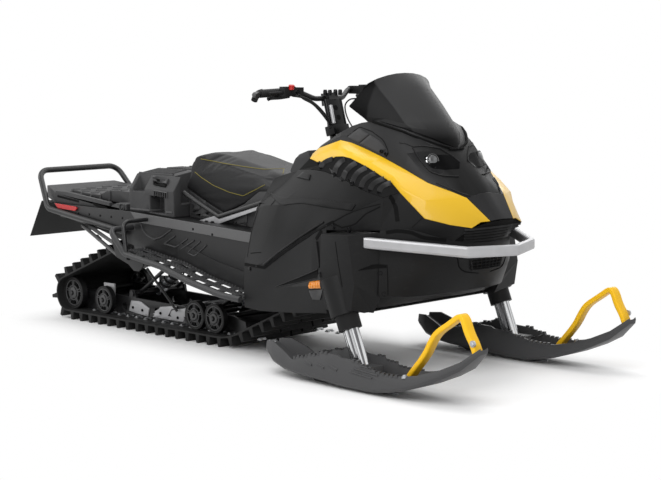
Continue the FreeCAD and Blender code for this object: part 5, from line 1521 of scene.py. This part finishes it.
LOOP_BOLTS = [(472.4, 344.2), (404.6, 376.6)]
SKI_MARKS = [[(305.0, 361.2), (311.6, 365.2)], [(317.0, 363.4), (324.0, 367.8)],
             [(329.6, 365.8), (337.0, 370.2)]]
SKI_RIDGES = [[(350.0, 371.6), (372.0, 378.4)], [(354.0, 368.4), (378.0, 375.6)],
              [(360.0, 365.8), (386.0, 373.2)]]
TEETH_SPANS = [(0.66, 0.86), (0.98, 1.22)]
TOOTH_STEP = 0.022
TEETH_INSET = 0.014
# Place along the ski and height of the runner's middle line
RUNNER = [(0.66, 0.0055), (0.70, 0.004), (1.10, 0.004), (1.14, 0.0055)]
SIDE_NAMES = {1: "left", -1: "right"}


def rounded(points, steps=5):
    """Points along a smooth line through the given ones."""
    result = []
    last = len(points) - 1
    for k in range(last):
        before, first, second, after = (points[max(k - 1, 0)], points[k], points[k + 1],
                                        points[min(k + 2, last)])
        for j in range(steps):
            t = j / steps
            result.append(0.5 * ((2 * first) + (second - before) * t
                                 + (2 * before - 5 * first + 4 * second - after) * t ** 2
                                 + (3 * first - before - 3 * second + after) * t ** 3))
    return result + [points[last]]


def make_post_trim():
    """Web and side bars of the wide post, its silver tube, holes and clamp studs."""
    top = seen_at_side(POST_TOP_MARK, 0.0)
    foot = seen_at_side(POST_FOOT_MARK, 0.0)
    lean = Matrix.Rotation(math.atan2((top - foot).x, (top - foot).z), 3, "Y")
    web = Form()
    half = (POST_WEB_HALF, POST_HALF_WIDTH, (top - foot).length / 2)
    web.block((top + foot) / 2, half, lean)
    for y in (-POST_HALF_WIDTH, POST_HALF_WIDTH):
        web.tube([top + Vector((0, y, 0)), foot + Vector((0, y, 0))], POST_BAR_RADIUS, 12)
    web.block(seen_at_side(LOWER_CLAMP_MARK, 0.0), LOWER_CLAMP_HALF, lean)
    plate = web.done("post_web", gloss_black, "steering_post", edge=0.002)
    look = Surface("steering_post", meshes=[plate.data]).photo
    tube = Form()
    line = [place + normal * POST_TUBE_OUT for place, normal in map(look, POST_TUBE)]
    tube.tube(line, POST_TUBE_RADIUS, 16)
    tube.done("post_tube", silver_satin, "steering_post")
    holes = studs(POST_HOLES, look, [(0.011, -0.002), (0.011, 0.0010)], 20)
    holes.done("post_holes", shadow_black, "steering_post")
    post_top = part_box("steering_post")[1].z
    clamps = Form()
    for x, y in CLAMP_STUDS:
        for side in (1, -1):
            clamps.turned([(0.009, -0.012), (0.009, 0.006), (0.0065, 0.012)],
                          (x, y * side, post_top), (0, 0, 1), 14)
    clamps.done("clamp_studs", gloss_black, "steering_post")


def make_bar_trim():
    """Switch housings with their levers, the stop button and the bent grip ends."""
    on_bar = Surface("grips", "handlebar", "controls").photo
    housing = Form()
    centre, _ = on_bar(HOUSING_MARK)
    housing.block(centre - HOUSING_BACK, HOUSING_HALF, Matrix.Rotation(HOUSING_TURN, 3, "Z"))
    depth = centre.y
    lever = [seen_at_side(mark, depth - LEVER_STEP * k) for k, mark in enumerate(LEVER_MARKS)]
    housing.tube(rounded(lever), LEVER_RADIUS, 10)
    housing.mirror().done("switch_housings", body_black, "controls", edge=0.004)
    button = Form()
    place = seen_at_side(BUTTON_MARK, depth)
    button.turned([(0.011, -0.012), (0.011, 0.000), (0.013, 0.001), (0.013, 0.006),
                   (0.009, 0.009)], place, BUTTON_WAY, 24)
    button.done("stop_button", button_red, "controls", edge=0.001)
    first = on_bar(GRIP_END_MARKS[0])[0].y + GRIP_END_IN
    line = [seen_at_side(mark, first - GRIP_END_STEP * k)
            for k, mark in enumerate(GRIP_END_MARKS)]
    ends = Form()
    ends.tube(rounded(line), GRIP_END_RADIUS, 16)
    ends.mirror().done("grip_ends", rubber, "grips")


def make_cables():
    """Cables from the bar down beside the post, which stand for the plain ones."""
    cables = Form()
    start = Surface("handlebar", "controls", "grips").photo(CABLE_START)[0].y
    runs = [(CABLE_MAIN, start, CABLE_END_Y[0], CABLE_RADIUS, 10),
            (CABLE_THIN, start + 0.01, CABLE_END_Y[1], CABLE_THIN_RADIUS, 8),
            (CABLE_FAR, CABLE_FAR_Y, CABLE_FAR_END_Y, CABLE_THIN_RADIUS, 8)]
    for marks, first, last, radius, sides in runs:
        step = (last - first) / (len(marks) - 1)
        line = [seen_at_side(mark, first + step * k) for k, mark in enumerate(marks)]
        cables.tube(rounded(line), radius, sides)
    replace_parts(cables.done("cable_runs", rubber, "cables"), "cables")


# Place along the ski and height of the strap's outer face; then the strap's middle, half
# width, thickness and edge radius
LOOP_PATH = [(1.181, 0.065), (1.211, 0.102), (1.279, 0.178), (1.3075, 0.231), (1.337, 0.270),
             (1.401, 0.310), (1.452, 0.347), (1.478, 0.330), (1.4965, 0.280), (1.5215, 0.244),
             (1.5375, 0.206)]
LOOP_MIDDLE, LOOP_HALF, LOOP_THICK, LOOP_ROUND = 0.450, 0.022, 0.020, 0.0055


def bent(marks, rounds=3):
    """Path with its corners cut again and again, which keeps both ends."""
    for _ in range(rounds):
        cut = [marks[0]]
        for first, second in zip(marks, marks[1:]):
            cut += [first.lerp(second, 0.25), first.lerp(second, 0.75)]
        marks = cut + [marks[-1]]
    return marks


def make_ski_loop(side):
    """Strap bent round into the handle above a ski's nose; it stands for the solid."""
    name = "ski_loop_" + SIDE_NAMES[side]
    path = bent([Vector((x, -LOOP_MIDDLE, z)) for x, z in LOOP_PATH])
    half, near, far = LOOP_HALF - LOOP_ROUND, LOOP_ROUND, LOOP_THICK - LOOP_ROUND
    corners = ((half, near, -90), (half, far, 0), (-half, far, 90), (-half, near, 180))
    strap = Form()
    rings = []
    for k, place in enumerate(path):
        way = (path[min(k + 1, len(path) - 1)] - path[max(k - 1, 0)]).normalized()
        inward = Vector((way.z, 0, -way.x))
        ring = []
        for aside, deep, first in corners:
            for turn in (0, 30, 60, 90):
                angle = math.radians(first + turn)
                offset = Vector((0, aside + LOOP_ROUND * math.cos(angle), 0))
                offset += inward * (deep + LOOP_ROUND * math.sin(angle))
                ring.append(strap.shape.verts.new(place + offset))
        rings.append(ring)
    strap.rings(rings)
    piece = turned_to(strap, side).done(name + "_strap", loop_plastic, name, smooth=50)
    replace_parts(piece, name)


def make_ski_trim(side):
    """Loop bolts, side ridges and runner on one ski."""
    name = SIDE_NAMES[side]
    body = nodes["ski_" + name]["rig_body"]
    look = Surface("ski_right", "ski_loop_right").photo
    form = Form()
    form.bolts(LOOP_BOLTS, look, 0.009, 0.006)
    turned_to(form, side).done("ski_bolts_" + name, alloy, "ski_leg_" + name, body)
    ridges = Form()
    ski_look = Surface("ski_right").photo
    for marks in SKI_MARKS:
        ridges.strip(marks, ski_look, 0.010, 0.004)
    for marks in SKI_RIDGES:
        ridges.strip(marks, ski_look, 0.008, 0.004)
    low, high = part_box("ski_right")
    above = Surface("ski_right").above
    for start, end in TEETH_SPANS:
        count = round((end - start) / TOOTH_STEP)
        for k in range(count):
            for y in (low.y + TEETH_INSET, high.y - TEETH_INSET):
                place, _ = above((start + TOOTH_STEP * k, y))
                ridges.block(place, (0.0055, 0.006, 0.006))
    turned_to(ridges, side).done("ski_ridges_" + name, ski_black, "ski_" + name, body)
    middle = (low.y + high.y) / 2
    runner = Form()
    runner.tube([(x, middle, z) for x, z in RUNNER], 0.0036, 10)
    turned_to(runner, side).done("ski_runner_" + name, alloy, "ski_" + name, body)


def turned_to(form, side):
    """The form itself for the right side, and its mirror image for the left."""
    if side > 0:
        bmesh.ops.scale(form.shape, verts=form.shape.verts[:], vec=(1, -1, 1))
    return form


SHELLS = [
    ("bodywork", [
        ("side_panels", panel_charcoal, 0.0030), ("lower_panels", body_black, 0.0028),
        ("hood_bands", band_paint, 0.0026), ("hood", hood_black, 0.0030),
        ("louvres", shadow_black, 0.0020), ("headlamps", gloss_black, 0.0010),
        ("fascia", body_black, 0.0028), ("nose_grille", shadow_black, 0.0020),
        ("nose_plate", gloss_black, 0.0020),
        ("front_pan", body_black, 0.0028), ("belly_pan", body_black, 0.0010),
        ("towers", body_black, 0.0050), ("reflectors", lens_orange, 0.0010),
        ("bumper", silver_satin, 0.0090), ("windscreen", screen_black, 0.0018)]),
    ("rear", [
        ("tunnel", frame_paint, 0.0008), ("side_strips", strip_grey, 0.0012),
        ("running_boards", board_grey, 0.0008), ("board_struts", frame_paint, 0.0008),
        ("rear_hoop", frame_paint, 0.0), ("rear_deck", tray_black, 0.0040),
        ("snow_flap", rubber, 0.0010), ("tail_lamps", lens_red, 0.0010),
        ("tow_hitch", frame_paint, 0.0015), ("cargo_box", tray_black, 0.0060),
        ("fuel_tank", tray_black, 0.0040), ("console", tray_black, 0.0060),
        ("seat_frame", frame_paint, 0.0), ("frame_plates", silver_satin, 0.0008),
        ("toe_loops", frame_paint, 0.0), ("engine", frame_paint, 0.0030)]),
    ("undercarriage", [
        ("track", rubber, 0.0015), ("slide_rails", frame_paint, 0.0010),
        ("idler_wheels", wheel_black, 0.0008), ("bogie_wheels", wheel_black, 0.0008),
        ("carrier_wheels", wheel_black, 0.0008), ("drive_axle", wheel_black, 0.0008),
        ("suspension_arms", frame_paint, 0.0)]),
    ("steering", [
        ("steering_post", frame_paint, 0.0012), ("handlebar", frame_paint, 0.0),
        ("grips", rubber, 0.0015), ("controls", body_black, 0.0015)]),
    ("skis", [
        ("ski_leg_left", chrome, 0.0015), ("ski_leg_right", chrome, 0.0015),
        ("ski_left", ski_black, 0.0030), ("ski_right", ski_black, 0.0030)]),
]


class SNOWMOBILE_OT_shells(bpy.types.Operator):
    """Round and finish the solids of one group"""
    bl_idname = "snowmobile.shells"
    bl_label = "Shells of a group"

    group: bpy.props.StringProperty(
        name="Group", description="Group of solids to finish", default="bodywork")

    def execute(self, context):
        for node, maker, edge in dict(SHELLS)[self.group]:
            softened(node, maker, edge)
        return {"FINISHED"}


class SNOWMOBILE_OT_covers(bpy.types.Operator):
    """Add the covers and seams of the hood"""
    bl_idname = "snowmobile.covers"
    bl_label = "Hood covers"

    def execute(self, context):
        make_covers()
        return {"FINISHED"}


class SNOWMOBILE_OT_fins(bpy.types.Operator):
    """Add the cooling fins of the vents"""
    bl_idname = "snowmobile.fins"
    bl_label = "Vent fins"

    def execute(self, context):
        make_fins()
        return {"FINISHED"}


class SNOWMOBILE_OT_lamps(bpy.types.Operator):
    """Add the lenses, rings and rims of the headlamps"""
    bl_idname = "snowmobile.lamps"
    bl_label = "Headlamp details"

    def execute(self, context):
        make_lamps()
        return {"FINISHED"}


class SNOWMOBILE_OT_flank(bpy.types.Operator):
    """Add the seams, lips and fasteners of the side panels"""
    bl_idname = "snowmobile.flank"
    bl_label = "Side panel details"

    def execute(self, context):
        make_flank()
        return {"FINISHED"}


class SNOWMOBILE_OT_nose(bpy.types.Operator):
    """Add the slats and the mesh of the nose"""
    bl_idname = "snowmobile.nose"
    bl_label = "Nose grilles"

    def execute(self, context):
        make_nose()
        return {"FINISHED"}


class SNOWMOBILE_OT_seat(bpy.types.Operator):
    """Pad the seat and stitch its seams"""
    bl_idname = "snowmobile.seat"
    bl_label = "Padded seat"

    def execute(self, context):
        make_seat()
        return {"FINISHED"}


class SNOWMOBILE_OT_tail(bpy.types.Operator):
    """Add the trim of the cargo box, the deck, the tunnel and the boards"""
    bl_idname = "snowmobile.tail"
    bl_label = "Rear trim"

    def execute(self, context):
        make_box_trim()
        make_deck_trim()
        make_tunnel_trim()
        make_board_trim()
        return {"FINISHED"}


class SNOWMOBILE_OT_running(bpy.types.Operator):
    """Add the wheels' ribs, the springs, the rail plates and the track clips"""
    bl_idname = "snowmobile.running"
    bl_label = "Running gear details"

    def execute(self, context):
        make_wheel_trim()
        make_springs()
        make_rail_trim()
        make_clips()
        return {"FINISHED"}


class SNOWMOBILE_OT_helm(bpy.types.Operator):
    """Add the fine pieces of the post and the bar"""
    bl_idname = "snowmobile.helm"
    bl_label = "Steering details"

    def execute(self, context):
        make_post_trim()
        make_bar_trim()
        make_cables()
        return {"FINISHED"}


class SNOWMOBILE_OT_skis(bpy.types.Operator):
    """Add the bolts, ridges and runners of both skis"""
    bl_idname = "snowmobile.skis"
    bl_label = "Ski details"

    def execute(self, context):
        for side in (1, -1):
            make_ski_loop(side)
            make_ski_trim(side)
        return {"FINISHED"}


class SNOWMOBILE_OT_stage(bpy.types.Operator):
    """Set the camera, lamps, sky and floor"""
    bl_idname = "snowmobile.stage"
    bl_label = "Stage"

    def execute(self, context):
        scene = context.scene
        scene.view_settings.view_transform = "Standard"
        make_camera(scene)
        make_world(scene)
        make_area_lamps(scene)
        make_floor(scene)
        return {"FINISHED"}


def make_camera(scene):
    lens_data = bpy.data.cameras.new("photo_camera")
    lens_data.lens = FOCAL_LENGTH
    lens_data.sensor_width = SENSOR_WIDTH
    camera = bpy.data.objects.new("photo_camera", lens_data)
    scene.collection.objects.link(camera)
    camera.matrix_world = Matrix.Translation(EYE) @ camera_turn().to_4x4()
    scene.camera = camera


def seen_directly(tree):
    """Socket that is 1 for camera, glossy and transmitted rays."""
    path = tree.nodes.new("ShaderNodeLightPath")
    seen = path.outputs["Is Camera Ray"]
    for name in ("Is Glossy Ray", "Is Transmission Ray"):
        most = tree.nodes.new("ShaderNodeMath")
        most.operation = "MAXIMUM"
        tree.links.new(seen, most.inputs[0])
        tree.links.new(path.outputs[name], most.inputs[1])
        seen = most.outputs[0]
    return seen


def mix_shaders(tree, share, first, second, surface):
    mixed = tree.nodes.new("ShaderNodeMixShader")
    tree.links.new(share, mixed.inputs[0])
    tree.links.new(first, mixed.inputs[1])
    tree.links.new(second, mixed.inputs[2])
    tree.links.new(mixed.outputs[0], surface)


def make_world(scene):
    """Soft light for the object; camera, glossy and transmitted rays see plain white."""
    world = bpy.data.worlds.new("studio")
    world.use_nodes = True
    tree = world.node_tree
    plain = tree.nodes["Background"]
    plain.inputs["Color"].default_value = (1.0, 1.0, 1.0, 1.0)
    plain.inputs["Strength"].default_value = WORLD_LIGHT
    shown = tree.nodes.new("ShaderNodeBackground")
    shown.inputs["Color"].default_value = (1.0, 1.0, 1.0, 1.0)
    shown.inputs["Strength"].default_value = 1.0
    mix_shaders(tree, seen_directly(tree), plain.outputs[0], shown.outputs[0],
                tree.nodes["World Output"].inputs["Surface"])
    scene.world = world


WORLD_LIGHT = 0.58
# Name, place, size and power of each lamp
LAMPS = [
    ("key_box", (2.6, -3.4, 3.8), 3.2, 145.0),
    ("fill_box", (-3.8, -2.6, 3.0), 2.6, 45.0),
    ("top_box", (-0.4, 0.6, 4.6), 3.4, 78.0),
    ("back_box", (-1.5, 4.6, 3.2), 2.8, 60.0)]
LAMP_AIM_Z = 0.4
FLOOR_HALF = 30.0
FLOOR_GLOW = 1.0
# Distance over which shadows fade, and middle, half length and half width of what stands
# on the floor
SHADOW_FADE = 0.32
TRACK_PRINT = (0.0, 1.25, 0.28)
SKI_PRINT = (1.00, 0.50, 0.10)
SKI_STANCE = 0.45


def make_area_lamps(scene):
    """Square lamps that all face the object's middle."""
    aim = Vector((0.0, 0.0, LAMP_AIM_Z))
    for name, place, size, power in LAMPS:
        lamp_data = bpy.data.lights.new(name, "AREA")
        lamp_data.size = size
        lamp_data.energy = power
        lamp = bpy.data.objects.new(name, lamp_data)
        lamp.location = place
        lamp.rotation_euler = (aim - Vector(place)).to_track_quat("-Z", "Y").to_euler()
        scene.collection.objects.link(lamp)


def make_floor(scene):
    mesh = bpy.data.meshes.new("floor")
    half = FLOOR_HALF
    corners = [(-half, -half, 0), (half, -half, 0), (half, half, 0), (-half, half, 0)]
    mesh.from_pydata(corners, [], [(0, 1, 2, 3)])
    floor = bpy.data.objects.new("floor", mesh)
    scene.collection.objects.link(floor)
    mesh.materials.append(floor_paper())


def print_distance(f, forward, aside, print_box):
    """Distance on the floor from the rectangle under a part of the object."""
    middle, half_length, half_width = print_box
    along = f.math("ABSOLUTE", forward - middle) - half_length
    return along.most(aside - half_width).most(0.0)


def floor_paper():
    """White paper: shadows stay near the object, and the rest of it reads as white."""
    f = Finish("floor_paper")
    speckle = f.noise(0.01, 2)
    f.set(Base_Color=f.mix(speckle, (0.93, 0.93, 0.93, 1), (0.95, 0.95, 0.95, 1)), Roughness=0.9)
    forward = f.coordinate(0)
    aside = f.math("ABSOLUTE", f.coordinate(1))
    track = print_distance(f, forward, aside, TRACK_PRINT)
    ski = print_distance(f, forward, f.math("ABSOLUTE", aside - SKI_STANCE), SKI_PRINT)
    far = f.ramp(f.math("MINIMUM", track, ski) / SHADOW_FADE, [(0.0, 0.0), (1.0, 1.0)])
    glow = f.node("ShaderNodeEmission", inputs={"Color": (1, 1, 1, 1), "Strength": FLOOR_GLOW})
    seen = Signal(f, seen_directly(f.tree))
    share = far * seen
    mix_shaders(f.tree, share.socket, f.shader.outputs[0], glow.socket,
                f.tree.nodes["Material Output"].inputs["Surface"])
    return f.material


PIECES = ["covers", "fins", "lamps", "flank", "nose", "seat", "tail", "running", "helm", "skis"]


class SNOWMOBILE_PT_panel(bpy.types.Panel):
    """Buttons for the stage and for every group of pieces"""
    bl_idname = "SNOWMOBILE_PT_panel"
    bl_label = "Snowmobile"
    bl_space_type = "VIEW_3D"
    bl_region_type = "UI"
    bl_category = "Snowmobile"

    def draw(self, context):
        for group, _ in SHELLS:
            button = self.layout.operator("snowmobile.shells", text=group)
            button.group = group
        for piece in PIECES + ["stage"]:
            self.layout.operator("snowmobile." + piece)


CLASSES = [SnowmobileColours, SnowmobileSizes, SNOWMOBILE_OT_shells, SNOWMOBILE_OT_covers,
           SNOWMOBILE_OT_fins, SNOWMOBILE_OT_lamps, SNOWMOBILE_OT_flank, SNOWMOBILE_OT_nose,
           SNOWMOBILE_OT_seat, SNOWMOBILE_OT_tail, SNOWMOBILE_OT_running, SNOWMOBILE_OT_helm,
           SNOWMOBILE_OT_skis, SNOWMOBILE_OT_stage, SNOWMOBILE_PT_panel]


def register():
    for each in CLASSES:
        bpy.utils.register_class(each)
    bpy.types.Scene.snowmobile_colours = PointerProperty(type=SnowmobileColours)
    bpy.types.Scene.snowmobile_sizes = PointerProperty(type=SnowmobileSizes)


def unregister():
    del bpy.types.Scene.snowmobile_sizes
    del bpy.types.Scene.snowmobile_colours
    for each in reversed(CLASSES):
        bpy.utils.unregister_class(each)


def main():
    register()
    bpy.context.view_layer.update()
    bpy.ops.snowmobile.stage()
    for group, _ in SHELLS:
        bpy.ops.snowmobile.shells(group=group)
    for piece in PIECES:
        getattr(bpy.ops.snowmobile, piece)()


if __name__ == "__main__":
    main()
